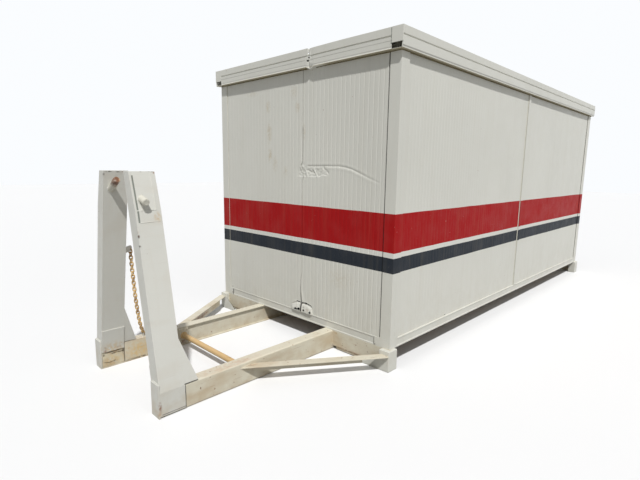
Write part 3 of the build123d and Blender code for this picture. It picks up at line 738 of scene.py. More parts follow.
# Damage on the end wall, as lines of (across, up) on it
crease_line = [
    (0.201, 1.696), (0.404, 1.698), (0.588, 1.698), (0.673, 1.688),
    (0.743, 1.673), (0.842, 1.637), (0.938, 1.601), (1.043, 1.565),
]
hollow_rim = [(0.040, 1.600), (0.194, 1.604), (0.287, 1.601), (0.342, 1.600), (0.406, 1.619), (0.450, 1.612)]
hollow_top = 1.690
hollow_folds = [
    ([(0.205, 1.657), (0.245, 1.644), (0.285, 1.636)], 0.010, -0.0040),
    ([(0.405, 1.683), (0.435, 1.660), (0.465, 1.637)], 0.010, -0.0040),
    ([(0.284, 1.666), (0.302, 1.634), (0.322, 1.604)], 0.009, 0.0045),
    ([(0.150, 1.690), (0.176, 1.650), (0.190, 1.610)], 0.011, 0.0040),
]
mouth_line = [
    (-0.033, 0.300), (0.015, 0.328), (0.066, 0.346), (0.144, 0.344),
    (0.200, 0.348), (0.240, 0.341), (0.278, 0.329), (0.290, 0.275),
]
mouth_top = 0.36
mouth_slit = (0.060, 0.284)
slit_height = 0.0130
mouth_holes = [
    ((0.062, 0.274), 0.024, 0.010), ((0.112, 0.279), 0.024, 0.014),
    ((0.172, 0.282), 0.014, 0.010), ((0.264, 0.276), 0.013, 0.013),
]
lobe_reach = 0.019

# How far the joint between the front sheets wanders sideways: heights and shifts
joint_heights = [0.262, 0.300, 0.337, 0.382, 0.495, 0.575, 0.660, 1.560, 1.606, 1.634, 1.660, 1.702, 1.740]
joint_shifts = [0.002, 0.002, -0.001, -0.007, -0.017, -0.017, 0, 0, 0.015, 0.004, -0.013, -0.021, 0]

# The sheet's edge is bent outward at the joint between these heights
bent_low = 1.665
bent_high = 2.055


def height_on(line, across):
    return float(np.interp(across, [point[0] for point in line], [point[1] for point in line]))


def in_mouth(across):
    return mouth_line[0][0] < across < mouth_line[-1][0]


def joint_shift(up):
    return float(np.interp(up, joint_heights, joint_shifts))


def joint_gap(up):
    """Half of the gap between the two front sheets: it tears open towards the bottom."""
    return 0.0012 + 0.0045 * share_between(up, 0.60, 0.38) + 0.0030 * share_between(up, 0.36, 0.33)


def front_relief(across, up):
    """How far the damaged end wall stands out at this place."""
    out = 0.0012 * ripple(across * 2.1, 0, up * 1.3)
    if 1.50 < up < 1.80 and across > 0.02:
        crease = distance_to_line((across, up), crease_line)
        fading = share_between(across, 1.10, 0.80)
        out -= fading * (0.0034 * hump(crease, 0.0080) - 0.0008 * hump(crease - 0.022, 0.012))
        rim = height_on(hollow_rim, across)
        hollow = share_between(up, rim - 0.004, rim + 0.004)
        hollow *= share_between(up, hollow_top + 0.01, hollow_top - 0.03)
        hollow *= share_between(across, 0.05, 0.09) * share_between(across, 0.47, 0.42)
        out += hollow * (0.0026 * ripple(across * 45, 3, up * 45) - 0.0036)
        for line, width, height in hollow_folds:
            out += height * hump(distance_to_line((across, up), line), width)
    if in_mouth(across) and up < 0.40:
        below = height_on(mouth_line, across) - up
        sides = share_between(across, -0.033, 0.010) * share_between(across, 0.290, 0.278)
        if below > 0:
            out += sides * (lobe_reach * share_between(below, 0.0, 0.065) ** 0.7 - 0.006 * hump(below, 0.010))
            out += 0.0022 * sides * ripple(across * 30, 7, up * 30)
        else:
            out += 0.003 * sides * hump(below, 0.018)
    if front_joint - 0.05 < across < front_joint:
        lifted = share_between(up, 1.64, 1.70) * share_between(up, 2.04, 1.94)
        out += 0.0010 * hump(front_joint - across, 0.016) * lifted
    beside = hump(across - 0.152, 0.012) * share_between(up, 0.350, 0.375) * share_between(up, 0.470, 0.420)
    return out + 0.006 * beside + 0.003 * hump(across - 0.115, 0.05) * hump(up - 0.42, 0.10)


def front_torn(across, up):
    """True where the end wall's sheet is torn open: the slit over the lobes and holes under them."""
    if up > mouth_top:
        return False
    over = up - height_on(mouth_line, across)
    if mouth_slit[0] < across < mouth_slit[1] and 0 < over < slit_height:
        return True
    return any(math.hypot((across - x) / wide, (up - z) / tall) < 1 for (x, z), wide, tall in mouth_holes)


front_heights = graded(
    front_low.z, (0.37, 0.0042), (0.66, 0.012), (1.52, 0.12), (1.75, 0.0044), (front_high.z, 0.12)
)


def front_place(across, out, up):
    """Where a point of the end wall lies, with the joint's wandering and the mouth's clean edge."""
    near = hump(across - front_joint, 0.035)
    side = 1 if across > front_joint else -1
    slide = near * side * (joint_gap(up) - joint_gap(front_high.z)) + near * joint_shift(up)
    edge = height_on(mouth_line, across)
    if in_mouth(across) and abs(up - edge) < (front_heights[1] - front_heights[0]) / 2:
        up = edge
    return (across + slide, front_low.y - out, up)


def front_walls():
    """The end wall's two ribbed sheets with their dents and the torn mouth at the joint."""
    shape = Shape()
    gap = joint_gap(front_high.z)
    thickness = front_high.y - front_low.y
    for low, high, last_set_back in (
        (front_low.x + 0.004, front_joint - gap, -0.0022),
        (front_joint + gap, front_high.x - 0.011, 0.0),
    ):
        across = rib_stations(low, high, 2, (-0.10, 0.50))
        ends = (end_set_back, last_set_back)
        form = (thickness, rib_depth, front_relief, front_torn, ends)
        sheet(shape, across, front_heights, front_place, *form)
    shape.make("front_wall_sheets", cream, cream, ["front_wall_panels"])


def torn_core():
    """Foam behind the torn mouth, and a strip in the joint's gap, both near black as painted shade."""
    core = Shape()
    left, right, deep = -0.05, 0.30, 0.03
    rings = []
    for up in steps_between(front_low.z + 0.002, 0.64, 0.012):
        face = front_low.y + 0.014 + 0.003 * ripple(1, 2, up * 40)
        ring = [(x, face + 0.003 * ripple(x * 40, 5, up * 40), up) for x in steps_between(left, right, 0.02)]
        rings.append(ring + [(right, face + deep, up), (left, face + deep, up)])
    core.rings(rings)
    rings = []
    for up in steps_between(front_low.z + 0.002, 0.66, 0.010):
        edge = front_place(front_joint - joint_gap(up) * 0.2, front_relief(front_joint - 0.001, up), up)
        reach = joint_gap(up) + 0.004
        profile = [(-reach, 0.0), (0.0, 0.001), (reach, 0.0), (0.0, 0.012)]
        x, y = front_joint + joint_shift(up), edge[1] + 0.0035
        rings.append([(x + side, y + back, up) for side, back in profile])
    core.rings(rings)
    core.make("torn_core", "burnt_core")


def joint_edge():
    """The strip at the joint where the sheet's edge is bent outward."""
    bent = Shape()
    rings = []
    for up in steps_between(bent_low, bent_high, 0.013):
        lift = 0.0008 + 0.0060 * share_between(up, bent_low, 1.72) * share_between(up, bent_high, 1.93)
        profile = [(-0.011, 0.003), (-0.011, -0.0004), (-0.010, -lift), (0.0, -0.0006), (0.0, 0.003)]
        x = front_joint + joint_shift(up) - 0.0012
        rings.append([(x + side, front_low.y + back, up) for side, back in profile])
    bent.rings(rings)
    bent.make("joint_bent_edge", cream, cream)


def side_facing(face, sign):
    """Where (across, out, up) lies on a sheet that faces along x."""
    return lambda across, out, up: (face + sign * out, across, up)


def side_walls():
    """The long walls, and the rear wall beside and over its door."""
    heights = steps_between(wall_bottom, wall_top, wall_step)

    def wave(across, up):
        return 0.0016 * ripple(across * 1.1, 11, up * 1.4)

    def on_rear(across, out, up):
        return (across, rear_high.y + out, up)

    for name, sign in (("right_wall", 1), ("left_wall", -1)):
        shape = Shape()
        place = side_facing(sign * side_face, sign)
        thickness = side_face - side_low.x
        half_gap = sheet_gap / 2
        for low, high in ((side_low.y, wall_middle - half_gap), (wall_middle + half_gap, side_high.y)):
            sheet(shape, rib_stations(low, high), heights, place, thickness, side_rib_depth, wave)
        shape.make(name + "_sheets", cream, cream, [name + "_panels"])
    shape = Shape()
    thickness = rear_high.y - rear_low.y
    door = rear_top_high.x
    over = steps_between(rear_top_low.z, rear_top_high.z, 0.08)
    for low, high, ups in ((rear_low.x, -door, heights), (door, rear_high.x, heights), (-door, door, over)):
        sheet(shape, rib_stations(low, high), ups, on_rear, thickness, rib_depth, wave)
    shape.make("rear_wall_sheets", cream, cream, ["rear_wall_panels", "rear_wall_top_panel"])


def wall_seals():
    """Seals beside the wall sheets, and the corner posts' wide side faces."""
    dark, light, covers = Shape(), Shape(), Shape()
    bottom, top = wall_bottom + 0.001, wall_top - 0.001
    front_face, rear_face = front_low.y, rear_high.y - 0.005
    for shape, low, high, face, inward in (
        (dark, front_high.x - 0.013, front_high.x + 0.0029, front_face + 0.009, 1),
        (light, front_low.x - 0.0029, front_low.x + 0.006, front_face + 0.002, 1),
        (dark, rear_low.x - 0.0029, rear_low.x + 0.001, rear_face, -1),
        (dark, rear_high.x - 0.001, rear_high.x + 0.0029, rear_face, -1),
    ):
        profile = [(low, 0.03), (low, 0.0), ((low + high) / 2, -0.0012), (high, 0.0), (high, 0.03)]
        upright(shape, placed(profile, 0.0, face, 1, inward), bottom, top, seal_step, 0.0006)
    trim_line = [(-0.0022, -0.004), (-0.0016, 0.0008), (0.0016, 0.0008), (0.0022, -0.004)]
    cover_bead = [(-0.002, -0.001), (0.004, -0.001), (0.001, 0.003), (-0.002, 0.004)]
    joint_bead = [(-0.002, -0.001), (0.006, -0.001), (0.002, 0.004), (-0.002, 0.007)]
    joint_low, joint_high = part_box("wall_joint_covers")
    for sign in (1, -1):
        x = sign * side_face
        for corner, inward, post_edge in (
            (wall_front, 1, side_low.y - 0.0028),
            (wall_rear, -1, side_high.y + 0.0028),
        ):
            trim_end = placed(trim_line, sign * beam_high.x, corner, 1, -inward)
            upright(dark, trim_end, beam_low.z + 0.003, beam_high.z - 0.003, 0.02, 0.0003)
            cover_end = corner + inward * post_cover_end
            outline = [
                (x - sign * 0.002, post_edge),
                (sign * wall_side, post_edge),
                (sign * wall_side, cover_end - inward * 0.0015),
                (sign * (wall_side - 0.0012), cover_end),
                (x - sign * 0.002, cover_end),
            ]
            upright(covers, outline, bottom, top, wall_step, 0.0003)
            bead = placed(cover_bead, x, cover_end, sign, inward)
            upright(light if inward > 0 else dark, bead, bottom, top, seal_step, 0.0004)
        for y, outward in ((joint_low.y, -1), (joint_high.y, 1)):
            upright(light, placed(joint_bead, x, y, sign, outward), bottom, top, seal_step, 0.0005)
    dark.make("wall_seals", "seal_rubber")
    light.make("wall_sealant", "sealant", cream)
    covers.make("corner_post_covers", cream, cream)


def eave_seals():
    """Seals where the walls meet the roof beams, coloured dark olive as painted shade under the eaves."""
    eaves = Shape()
    outline = [(-0.003, -0.002), (0.012, -0.002), (0.012, -0.007)]
    outline += [(0.0, -0.007), (-0.002, -0.006), (-0.003, -0.004)]
    for sign, y in ((-1, wall_front), (1, wall_rear)):
        x = sign * wall_side
        for start, end, outward in (
            ((-wall_side, y, wall_top), (wall_side, y, wall_top), (0, sign, 0)),
            ((x, wall_front, wall_top), (x, wall_rear, wall_top), (sign, 0, 0)),
        ):
            drawn(eaves, start, end, outward, outline, 0.15, 0.0006)
    eaves.make("eave_seals", "eave_seal", cream)


# Roof

dent_x = 0.248
beam_depth = 0.105
beam_sheet = 0.003


def beam_outline(top, bottom):
    """The front beam's fold as (depth, up): a groove near its top and a rolled lower edge."""
    groove = top - 0.060
    outline = [
        (beam_depth, top), (0.050, top), (0.0015, top), (0, top - 0.002), (0, top - 0.030), (0, groove),
        (0.008, groove - 0.003), (0.008, groove - 0.009), (0, groove - 0.013), (0, bottom + 0.062),
        (0.0018, bottom + 0.058), (0.0018, bottom + 0.035), (0.0018, bottom + 0.021),
        (0.0036, bottom + 0.014), (0.0030, bottom + 0.008), (0.0005, bottom + 0.004),
        (0.0005, bottom), (beam_depth, bottom),
    ]
    dense = []
    for (u0, v0), (u1, v1) in zip(outline, outline[1:]):
        count = max(1, round(math.dist((u0, v0), (u1, v1)) / 0.013))
        dense += [(u0 + (u1 - u0) * n / count, v0 + (v1 - v0) * n / count) for n in range(count)]
    return dense + outline[-1:]


def dented(across, depth, up):
    """A point of the front beam, moved by the dent and by slight waves of the sheet."""
    side = across - dent_x
    rise = up - roof_low.z
    inward = 0.0012 * ripple(across * 3, 1, up * 6)
    inward += 0.007 * hump(side, 0.009) + 0.003 * hump(side - 0.030, 0.025)
    inward -= 0.003 * hump(side + 0.030, 0.018)
    inward += 0.004 * hump(side, 0.030) * ripple(across * 80, 2, up * 60)
    lip = hump(across - 0.258, 0.030) * share_between(rise, 0.034, 0.0)
    inward += 0.012 * lip
    drop = 0.009 * hump(side, 0.010) * share_between(rise, 0.10, 0.16) + 0.017 * lip
    drop += 0.003 * share_between(side, -0.006, 0.006) * hump(side, 0.25)
    return (across, roof_low.y + max(0.0, inward * share_between(depth, 0.05, 0.0) + depth), up - drop)


def roof_front_beam():
    """The front roof beam: folded sheet with a groove, pressed in and torn beside its joint."""
    bottom = roof_low.z
    outline = beam_outline(roof_high.z, bottom)
    holes = [(0.245, bottom + 0.118, 0.007), (0.251, bottom + 0.086, 0.010)]
    holes += [(0.236, bottom + 0.056, 0.009), (0.252, bottom + 0.036, 0.006)]
    stations = graded(roof_low.x, (dent_x - 0.09, 0.11), (dent_x + 0.11, 0.004), (roof_high.x, 0.11))
    columns = len(outline)
    faces = []
    for row, (x0, x1) in enumerate(zip(stations, stations[1:])):
        for col, ((u0, v0), (u1, v1)) in enumerate(zip(outline, outline[1:])):
            middle, up = (x0 + x1) / 2, (v0 + v1) / 2
            near_hole = any(math.hypot(middle - x, up - z) < size for x, z, size in holes)
            if not (near_hole and (u0 + u1) / 2 < 0.012):
                low = row * columns + col
                faces.append((low, low + columns, low + columns + 1, low + 1))
    shape = Shape()
    shape.add([dented(x, depth, up) for x in stations for depth, up in outline], faces)
    beam = shape.make("roof_beam_front_sheet", cream, cream, ["roof_beam_front"])
    thick = beam.modifiers.new("thickness", "SOLIDIFY")
    thick.thickness = beam_sheet
    thick.offset = -1.0


def roof_trim():
    """Sealant where the front and rear beams meet the end caps, and a grey strip as painted shadow in the gap
    at one of them.
    """
    seams, gap = Shape(), Shape()
    cap_low, cap_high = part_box("roof_end_caps")
    inner = cad_high.x - beam_depth
    for x_sign in (1, -1):
        for y, y_sign in ((cap_low.y, -1), (cap_high.y, 1)):
            if x_sign > 0 > y_sign:
                x, y = inner - 0.001, y + 0.0024
                # Grey strip as painted shadow in the gap between beam and cap
                gap.weld((x, y, roof_low.z + 0.040), (x, y, cap_high.z - 0.004), 0.0048)
            else:
                x, y = x_sign * inner, y - y_sign * 0.0032
                seams.weld((x, y, cap_low.z + 0.004), (x, y, cap_high.z - 0.006), 0.003)
    seams.make("roof_corner_seams", cream, cream, smooth=True)
    gap.make("roof_cap_gap", "slot_filler", smooth=True)


# Floor frame

base_bolt = 0.009
plug_inset = 0.94
trim_step = 0.18
trim_wave = 0.0008


def trim_outline(low, high, depth, lip):
    """A folded floor beam: flush flanges above and below a web that is set back."""
    back = 0.004
    outline = [(0.0, low), (0.0, low + lip), (back, low + lip + 0.003), (back, high - lip - 0.003)]
    return outline + [(0.0, high - lip), (0.0, high), (depth, high), (depth, low)]


def floor_frame():
    """Base trim all round, with its bolts and the drain plugs over it."""
    low, high = beam_low.z, beam_high.z
    x0, x1 = -beam_high.x, beam_high.x
    y0, y1 = side_beam_low.y, side_beam_high.y
    depth, side_depth = beam_high.y - beam_low.y, side_beam_high.x - side_beam_low.x
    for name, start, end, outward, deep, lip in (
        ("front", (x0, wall_front, 0), (x1, wall_front, 0), (0, -1, 0), depth, 0.010),
        ("rear", (x0, wall_rear, 0), (x1, wall_rear, 0), (0, 1, 0), depth, 0.010),
        ("left", (-wall_side, y0, 0), (-wall_side, y1, 0), (-1, 0, 0), side_depth, 0.012),
        ("right", (wall_side, y0, 0), (wall_side, y1, 0), (1, 0, 0), side_depth, 0.012),
    ):
        shape = Shape()
        drawn(shape, start, end, outward, trim_outline(low, high, deep, lip), trim_step, trim_wave)
        shape.make("base_trim_" + name, cream, cream, ["floor_beam_" + name], bevel=0.0008)
    bolts = Shape()
    left, right = -1.062, 1.058
    for y, panel, sign in ((wall_front, front_low.y, -1), (wall_rear, rear_high.y, 1)):
        for x, face, up in ((left, y, low + 0.030), (right, y, low + 0.012), (left, panel, high + 0.020)):
            bolts.bolt((x, face - sign * 0.0005, up), (0, sign, 0), base_bolt)
    bolts.make("base_bolts", "zinc", cream, smooth=True)
    plugs = Shape()
    ring = [(0.0005, 0.006), (0.002, 0.006), (0.0022, 0.004), (0.0006, 0.0036)]
    for sign in (1, -1):
        for y in (wall_front + plug_inset, wall_rear - plug_inset):
            plugs.disc((sign * (side_face - 0.0015), y, wall_bottom + 0.010), (sign, 0, 0), ring, 14)
    plugs.make("drain_plugs", "seal_rubber", smooth=True)


# Lifting frame

foot_outer = post_high.x
post_width = 0.106
top_outer = post_low.x + post_width
post_front = post_low.y
post_rear = post_high.y
post_knee = 1.385
head_setback = 0.024
pocket_front = 0.014
pocket_rear = 0.032
pocket_depth = 0.004
slot_low = 1.303
slot_high = 1.614
lean = (foot_outer - top_outer) / (post_high.z - post_low.z)
bar_radius = (bar_high.y - bar_low.y) / 2
bar_y = (bar_high.y + bar_low.y) / 2
bar_bend = 1.470
bar_out = 1.452
bar_in = 1.503
bar_sides = 28
cut_inset = 0.004


def post_outer_x(up):
    """X of the right post's outer face at this height, as if it had no knee."""
    return foot_outer - lean * max(up - post_low.z, 0)


def post_face_x(up):
    """X of the same face with its knee."""
    return post_outer_x(up) - head_setback * share_between(up, post_knee, post_high.z)


def on_post(side, y, up, out):
    """A point on the right post's outer face (side 0) or inner face (side 1) at this height."""
    x = post_face_x(up) if side == 0 else post_outer_x(up) - post_width
    reach = out if side == 0 else -out
    return Vector((x + math.cos(math.atan(lean)) * reach, y, up + math.sin(math.atan(lean)) * reach))


def stub(name, sign, look, slot):
    """A bent bar through a post, flame cut at both ends."""
    bend = Vector((post_outer_x(bar_bend) - post_width / 2, bar_y, bar_bend))
    ends = []
    for x, z, degrees, way in ((bar_low.x, bar_high.z, 32, 1), (bar_high.x, bar_low.z, 16, -1)):
        turn = math.radians(degrees)
        side = way * bar_radius * math.sin(turn)
        end = Vector((x + side, bar_y, z - way * bar_radius * math.cos(turn)))
        ends.append(end.lerp(bend, cut_inset / (bend - end).length))
    path = [ends[0].lerp(bend, share) for share in (0, 0.03, 0.08, 0.2, 0.45, 0.8)] + [bend]
    path += [bend.lerp(ends[1], share) for share in (0.25, 0.6, 0.85, 0.95, 1.0)]
    path = [mirrored(point, sign) for point in path]
    last = len(path) - 1
    across = Vector((0, 1, 0))
    rings = []
    for number, centre in enumerate(path):
        along = (path[min(number + 1, last)] - path[max(number - 1, 0)]).normalized()
        outward = along if number > 2 else -along
        from_end = min(number, last - number)
        ring = circle(centre, across, along.cross(across).normalized(), bar_radius * 0.995, bar_sides)
        for side, point in enumerate(ring if from_end < 2 else []):
            rough = ripple(number * 3.1, side * 0.55, sign * 4.0)
            worn = (0.0016 + 0.002 * abs(rough)) * (2 - from_end) / 2
            ring[side] = point + outward * 0.0035 * rough - (point - centre).normalized() * worn
        rings.append(ring)
    shape = Shape()
    shape.rings(rings)
    for ring, inside in ((rings[0], path[1]), (rings[-1], path[-2])):
        middle = sum(ring, Vector()) / len(ring)
        outward = (middle - inside).normalized()
        crater = ((0.97, -0.001), (0.72, 0.0015), (0.45, -0.001), (0.2, 0.0005))
        shape.rings([[middle.lerp(p, share) + outward * lift for p in ring] for share, lift in crater])
    shape.make("torn_bar_" + name, look, slot, ["hook_bar_stub_" + name], smooth=True)


def bar_welds():
    """Weld rings where the torn bars pass through the posts' faces."""
    shape = Shape()
    reach = bar_radius + 0.003
    outer = (post_face_x(bar_out) - pocket_depth, bar_out)
    inner = (post_outer_x(1.50) - post_width, bar_in)
    for sign in (1, -1):
        for x, z in (outer, inner):
            path = []
            for number in range(bar_sides + 1):
                turn = 2 * math.pi * number / bar_sides
                up = z + reach * math.sin(turn)
                path.append((sign * (x - lean * (up - z)), bar_y + reach * math.cos(turn), up))
            swells = [0.22 * (n % 2) + 0.3 * noise.noise(Vector(p) * 55) for n, p in enumerate(path)]
            shape.tube(path, [0.0042 * (1 + swell) for swell in swells], 6)
    shape.make("bar_welds", "post_paint", "post_paint", smooth=True)


def plate_seams():
    """Dark seams round the posts' side plates."""
    seams = Shape()
    low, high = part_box("post_side_plates")
    rim = high.x + 0.0001
    edge = high.x - 0.0072
    seams.weld_both((rim, high.y - 0.0018, 0.016), (rim, high.y - 0.0018, high.z), 0.0020)
    seams.weld_both((edge, high.y, high.z + 0.003), (edge, high.y + 0.094, high.z + 0.003), 0.0024)
    seams.weld_both((rim, low.y + 0.012, 0.024), (rim, high.y - 0.004, 0.024), 0.0015)
    seams.make("post_plate_seams", "seal_rubber")


def post_slots():
    """A grey strip as painted shadow in the slot where each post's pocket meets its front flange."""
    slots = Shape()
    y = post_front + pocket_front + 0.0062
    for sign in (1, -1):
        rings = []
        for up in steps_between(slot_low, slot_high, 0.03 * (slot_high - slot_low)):
            half = 0.0058 + 0.0010 * ripple(sign, 2, up * 30)
            floor = -0.0005 - (pocket_depth if up > post_knee else 0.0)
            section = [(-half, 0.0), (-half, 0.0012), (half, 0.0010), (half, 0.0)]
            rings.append([mirrored(on_post(0, y + side, up, floor + rise), sign) for side, rise in section])
        slots.rings(rings)
    slots.make("post_slots", "slot_filler")


def post_welds():
    """Beads along the posts' edges, at their feet and at the pocket."""
    welds = Shape()
    edge = post_knee - 0.002
    start = on_post(0, post_front + pocket_front + 0.022, edge, -0.0005)
    welds.weld_both(start, on_post(0, post_rear - pocket_rear, edge, -0.0005), 0.0036)
    start = on_post(0, post_front + 0.020, slot_low - 0.002, -0.0012)
    welds.weld_both(start, on_post(0, post_rear - 0.012, slot_low + 0.004, -0.0012), 0.0042)
    for side in (0, 1):
        for y in (post_front + 0.002, post_rear - 0.002):
            for low, high in ((post_low.z + 0.30, post_knee), (post_knee, post_high.z - 0.01)):
                welds.weld_both(on_post(side, y, low, -0.0016), on_post(side, y, high, -0.0016), 0.0024)
        behind = post_rear + 0.001
        start = on_post(side, behind, post_low.z + 0.02, -0.004)
        welds.weld_both(start, on_post(side, behind, post_low.z + 0.31, -0.004), 0.004)
    y, z = post_front - 0.002, 0.242
    welds.weld_both((foot_outer - post_width + 0.006, y, z), (foot_outer - 0.008, y, z), 0.0045)
    welds.make("post_welds", "post_paint", "post_paint", smooth=True)


def chain():
    """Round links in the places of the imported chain's flat-sided ones."""
    work = bmesh.new()
    work.from_mesh(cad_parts["hook_chain"].data)
    bmesh.ops.remove_doubles(work, verts=work.verts, dist=merge_reach / 2)
    work.verts.ensure_lookup_table()
    seen = set()
    shape = Shape()
    turns = 10
    for first in work.verts:
        if first.index in seen:
            continue
        island, waiting = [], [first]
        seen.add(first.index)
        while waiting:
            vertex = waiting.pop()
            island.append(tuple(vertex.co))
            for other in (edge.other_vert(vertex) for edge in vertex.link_edges):
                if other.index not in seen:
                    seen.add(other.index)
                    waiting.append(other)
        cloud = np.array(island)
        middle = cloud.mean(0)
        axes = np.linalg.eigh(np.cov((cloud - middle).T))[1]
        wire, width, length = (float(np.ptp(cloud @ axes[:, n])) for n in range(3))
        half_width = (width - wire) / 2
        run = (length - wire) / 2 - half_width
        wide, long = Vector(axes[:, 1]), Vector(axes[:, 2])
        path = []
        for end in (1, -1):
            for angle in (math.pi * number / turns for number in range(turns + 1)):
                side = end * half_width * math.cos(angle)
                up = end * (run + half_width * math.sin(angle))
                path.append(Vector(middle) + wide * side + long * up)
        shape.tube(path, wire / 2 * 0.985, 10, True)
    work.free()
    shape.make("chain_links", "chain_steel", "rusted_steel", ["hook_chain"], smooth=True)


# Skid

leg_width = 0.076
bracket_bolt = 0.014


def skid_welds():
    """Weld beads at the corner feet, the rails and the braces."""
    welds = Shape()
    foot_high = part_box("corner_feet")[1]
    brace_low, brace_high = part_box("brace_right")
    leg_in = wall_side - leg_width
    for y in (wall_front - 0.002, wall_rear + 0.002):
        welds.weld_both((leg_in - 0.001, y, 0.060), (leg_in - 0.001, y, 0.172), 0.0035)
        welds.weld_both((leg_in + 0.004, y, 0.181), (foot_high.x - 0.004, y, 0.181), 0.003)
    x, y = rail_high.x + 0.002, wall_front - 0.002
    welds.weld_both((x, y, 0.045), (x, y, 0.172), 0.004)
    x, z = rail_high.x + 0.0015, brace_high.z + 0.001
    welds.weld_both((x, brace_low.y + 0.03, z), (x, brace_low.y + 0.09, z), 0.0035)
    welds.make("skid_welds", "skid_paint", "skid_paint", smooth=True)


def tube_mounts():
    """Bolts and collars where the cross tube meets its brackets."""
    low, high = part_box("tube_brackets")
    y, z = (low.y + high.y) / 2, (low.z + high.z) / 2
    face = high.x - 0.010
    bolts, collars = Shape(), Shape()
    ring = [(0.0, 0.034), (0.004, 0.033), (0.007, 0.028), (0.008, 0.0245)]
    for sign in (1, -1):
        collars.disc((sign * face, y, z), (-sign, 0, 0), ring, 24)
        for along, up in ((-0.032, -0.056), (-0.032, 0.056), (0.032, -0.056), (0.032, 0.056)):
            bolts.bolt((sign * (face + 0.0005), y + along, z + up), (-sign, 0, 0), bracket_bolt)
    bolts.make("bracket_bolts", "skid_paint", "rusted_steel", smooth=True)
    collars.make("tube_collars", "tube_paint", "rusted_steel", smooth=True)


# Cracks in the left post's foot, as lines of (along, up) with half their width, and two holes
foot_cracks = [
    ([(-3.530, 0.132), (-3.480, 0.130), (-3.430, 0.134), (-3.395, 0.136)], 0.0028),
    ([(-3.480, 0.112), (-3.440, 0.114), (-3.395, 0.112)], 0.0030),
    ([(-3.545, 0.048), (-3.500, 0.040), (-3.455, 0.046)], 0.0026),
]
foot_holes = [((-3.545, 0.112), 0.0075), ((-3.388, 0.113), 0.008)]


def cracked(along, up):
    if any(math.dist((along, up), hole) < radius for hole, radius in foot_holes):
        return True
    return any(distance_to_line((along, up), line) < wide for line, wide in foot_cracks)


def foot_skins():
    """Bulged plates inside the posts' feet, the left one cracked, with a near-black back behind them as
    painted shade in the cracks.
    """

    def bulged(along, up):
        return 0.0015 * ripple(along * 22, 4, up * 30) - 0.0016

    skins, backs = Shape(), Shape()
    alongs = steps_between(post_front + 0.003, post_rear - 0.001, 0.0055)
    ups = steps_between(0.010, 0.1395, 0.0045)
    for sign in (1, -1):
        place = side_facing(sign * rail_low.x, -sign)
        behind = side_facing(sign * (rail_low.x + 0.0135), -sign)
        sheet(skins, alongs, ups, place, 0.010, 0.0, bulged, cracked if sign < 0 else None)
        sheet(backs, alongs[1:-1], ups[1:-1], behind, 0.003, 0.0, bulged)
    skins.make("foot_inner_skins", "foot_paint", "skid_paint")
    backs.make("foot_inner_backs", "burnt_core")


def roller_nuts():
    """Nuts on the ends of the rear rollers' axles."""
    rollers = Shape()
    low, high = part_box("rear_rollers")
    nut = [(-0.0005, 0.016), (0.004, 0.016), (0.005, 0.012)]
    for sign in (1, -1):
        centre = (sign * (high.x - 0.0055), (low.y + high.y) / 2, (low.z + high.z) / 2)
        rollers.disc(centre, (sign, 0, 0), nut, 6)
    rollers.make("roller_nuts", "old_rust", "roller_steel")


# Rear door

hinge_inset = 0.25


def loop_points(corners, step):
    """Points along the lines between corners, without the last corner."""
    path = []
    for start, end in zip(corners, corners[1:]):
        count = max(2, round(math.dist(start, end) / step))
        path += [Vector(start).lerp(Vector(end), n / count) for n in range(count)]
    return path


def door_details():
    """Hinges, seal, pressings and lock of the rear door."""
    low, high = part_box("door_leaf")
    hinges = Shape()
    x, face = low.x - 0.002, high.y
    for up in (low.z + hinge_inset, (low.z + high.z) / 2, high.z - hinge_inset):
        hinges.tube([(x, face + 0.008, up - 0.055), (x, face + 0.008, up + 0.055)], 0.008, 14)
        for side in (-1, 1):
            hinges.block((x, face - 0.001, up - 0.045), (x + side * 0.030, face + 0.004, up + 0.045))
            for rise in (-0.028, 0.028):
                hinges.rivet((x + side * 0.019, face + 0.004, up + rise), (0, 1, 0), 0.004)
    hinges.make("door_hinges", "zinc", cream, bevel=0.0006)
    seal = Shape()
    left, right, y = low.x - 0.002, high.x + 0.002, face - 0.003
    bottom, top = low.z + 0.002, high.z + 0.002
    corners = [(left, y, bottom), (left, y, top), (right, y, top), (right, y, bottom)]
    seal.tube(loop_points(corners, 0.12) + [corners[-1]], 0.0022, 8)
    seal.make("door_seal", "seal_rubber", smooth=True)
    pressing = Shape()
    left, right, y = low.x + 0.12, high.x - 0.16, face - 0.002
    for bottom, top in ((low.z + 0.12, low.z + 0.86), (low.z + 1.06, high.z - 0.12)):
        corners = [(left, y, bottom), (right, y, bottom), (right, y, top), (left, y, top), (left, y, bottom)]
        pressing.tube(loop_points(corners, 0.06), 0.0045, 8, True)
    pressing.make("door_pressings", "door_paint", "door_paint", smooth=True)
    lock = Shape()
    handle_low, handle_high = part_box("door_handle")
    centre = (handle_high.x - 0.021, handle_low.y + 0.006, handle_low.z + 0.045)
    lock.disc(centre, (0, 1, 0), [(-0.001, 0.012), (0.004, 0.012), (0.006, 0.009)], 20)
    lock.make("door_lock", "zinc", "handle_plastic", smooth=True)


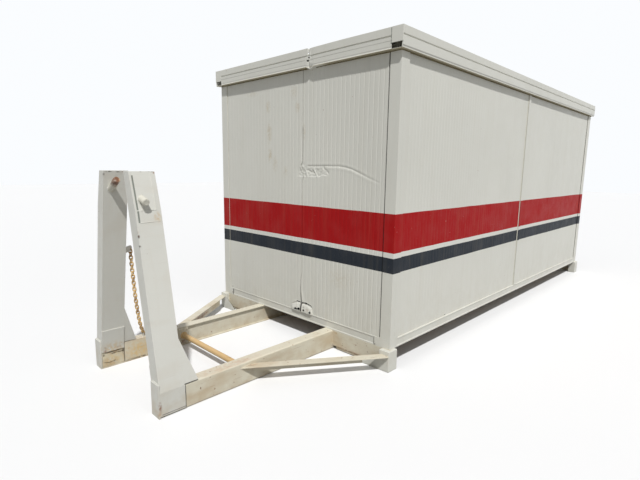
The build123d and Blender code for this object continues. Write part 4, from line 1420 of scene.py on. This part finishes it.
def dress_frame():
    """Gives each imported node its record's material, and rounds what shows."""
    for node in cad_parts.values():
        packed = node.data.materials[0].name
        node.data.materials[0] = looks["tube_paint" if node.name == "cross_tube" else packed]
        if not node.hide_render:
            soften(node, edge_widths.get(node.name, edge_width), True)


front_walls()
torn_core()
joint_edge()
side_walls()
wall_seals()
eave_seals()
roof_front_beam()
roof_trim()
floor_frame()
stub("right", 1, "bar_paint", "post_paint")
stub("left", -1, "bar_paint", "rusted_steel")
bar_welds()
plate_seams()
post_slots()
post_welds()
chain()
skid_welds()
tube_mounts()
foot_skins()
roller_nuts()
door_details()
dress_frame()


# Floor, light and camera


def make_floor():
    mesh = bpy.data.meshes.new("studio_floor")
    corners = [(x * floor_half, y * floor_half, 0) for x, y in ((-1, -1), (1, -1), (1, 1), (-1, 1))]
    mesh.from_pydata(corners, [], [(0, 1, 2, 3)])
    look = Finish("studio_floor", 0.9)
    look.colour(look.mix(look.seen_rays(), floor_lighting, floor_seen))
    mesh.materials.append(look.material)
    linked("studio_floor", mesh)


def make_world():
    world = bpy.data.worlds.new("studio")
    bpy.context.scene.world = world
    sky = Nodes(world)
    strength = sky.spread(sky.seen_rays(), 0.0, 1.0, sky_strength, 1.0)
    sky.feed(sky.nodes["Background"], {"Color": sky_colour, "Strength": strength})


def make_sun(name, direction, strength, softness):
    data = bpy.data.lights.new(name, "SUN")
    data.energy = strength
    data.angle = math.radians(softness)
    lamp = linked(name, data)
    lamp.rotation_mode = "QUATERNION"
    lamp.rotation_quaternion = Vector(direction).to_track_quat("Z", "Y")


def make_camera():
    data = bpy.data.cameras.new("camera")
    data.sensor_width = sensor_width
    data.lens = camera_lens
    placed_at = Matrix.Translation(camera_place)
    for degrees, axis in ((camera_yaw, "Z"), (90 - camera_pitch, "X"), (camera_roll, "Z")):
        placed_at = placed_at @ Matrix.Rotation(math.radians(degrees), 4, axis)
    camera = linked("camera", data)
    camera.matrix_world = placed_at
    bpy.context.scene.camera = camera


make_floor()
make_world()
make_sun("sun", sun_from, sun_strength, sun_softness)
make_sun("fill", fill_from, fill_strength, fill_softness)
make_camera()
bpy.context.scene.view_settings.view_transform = "Standard"
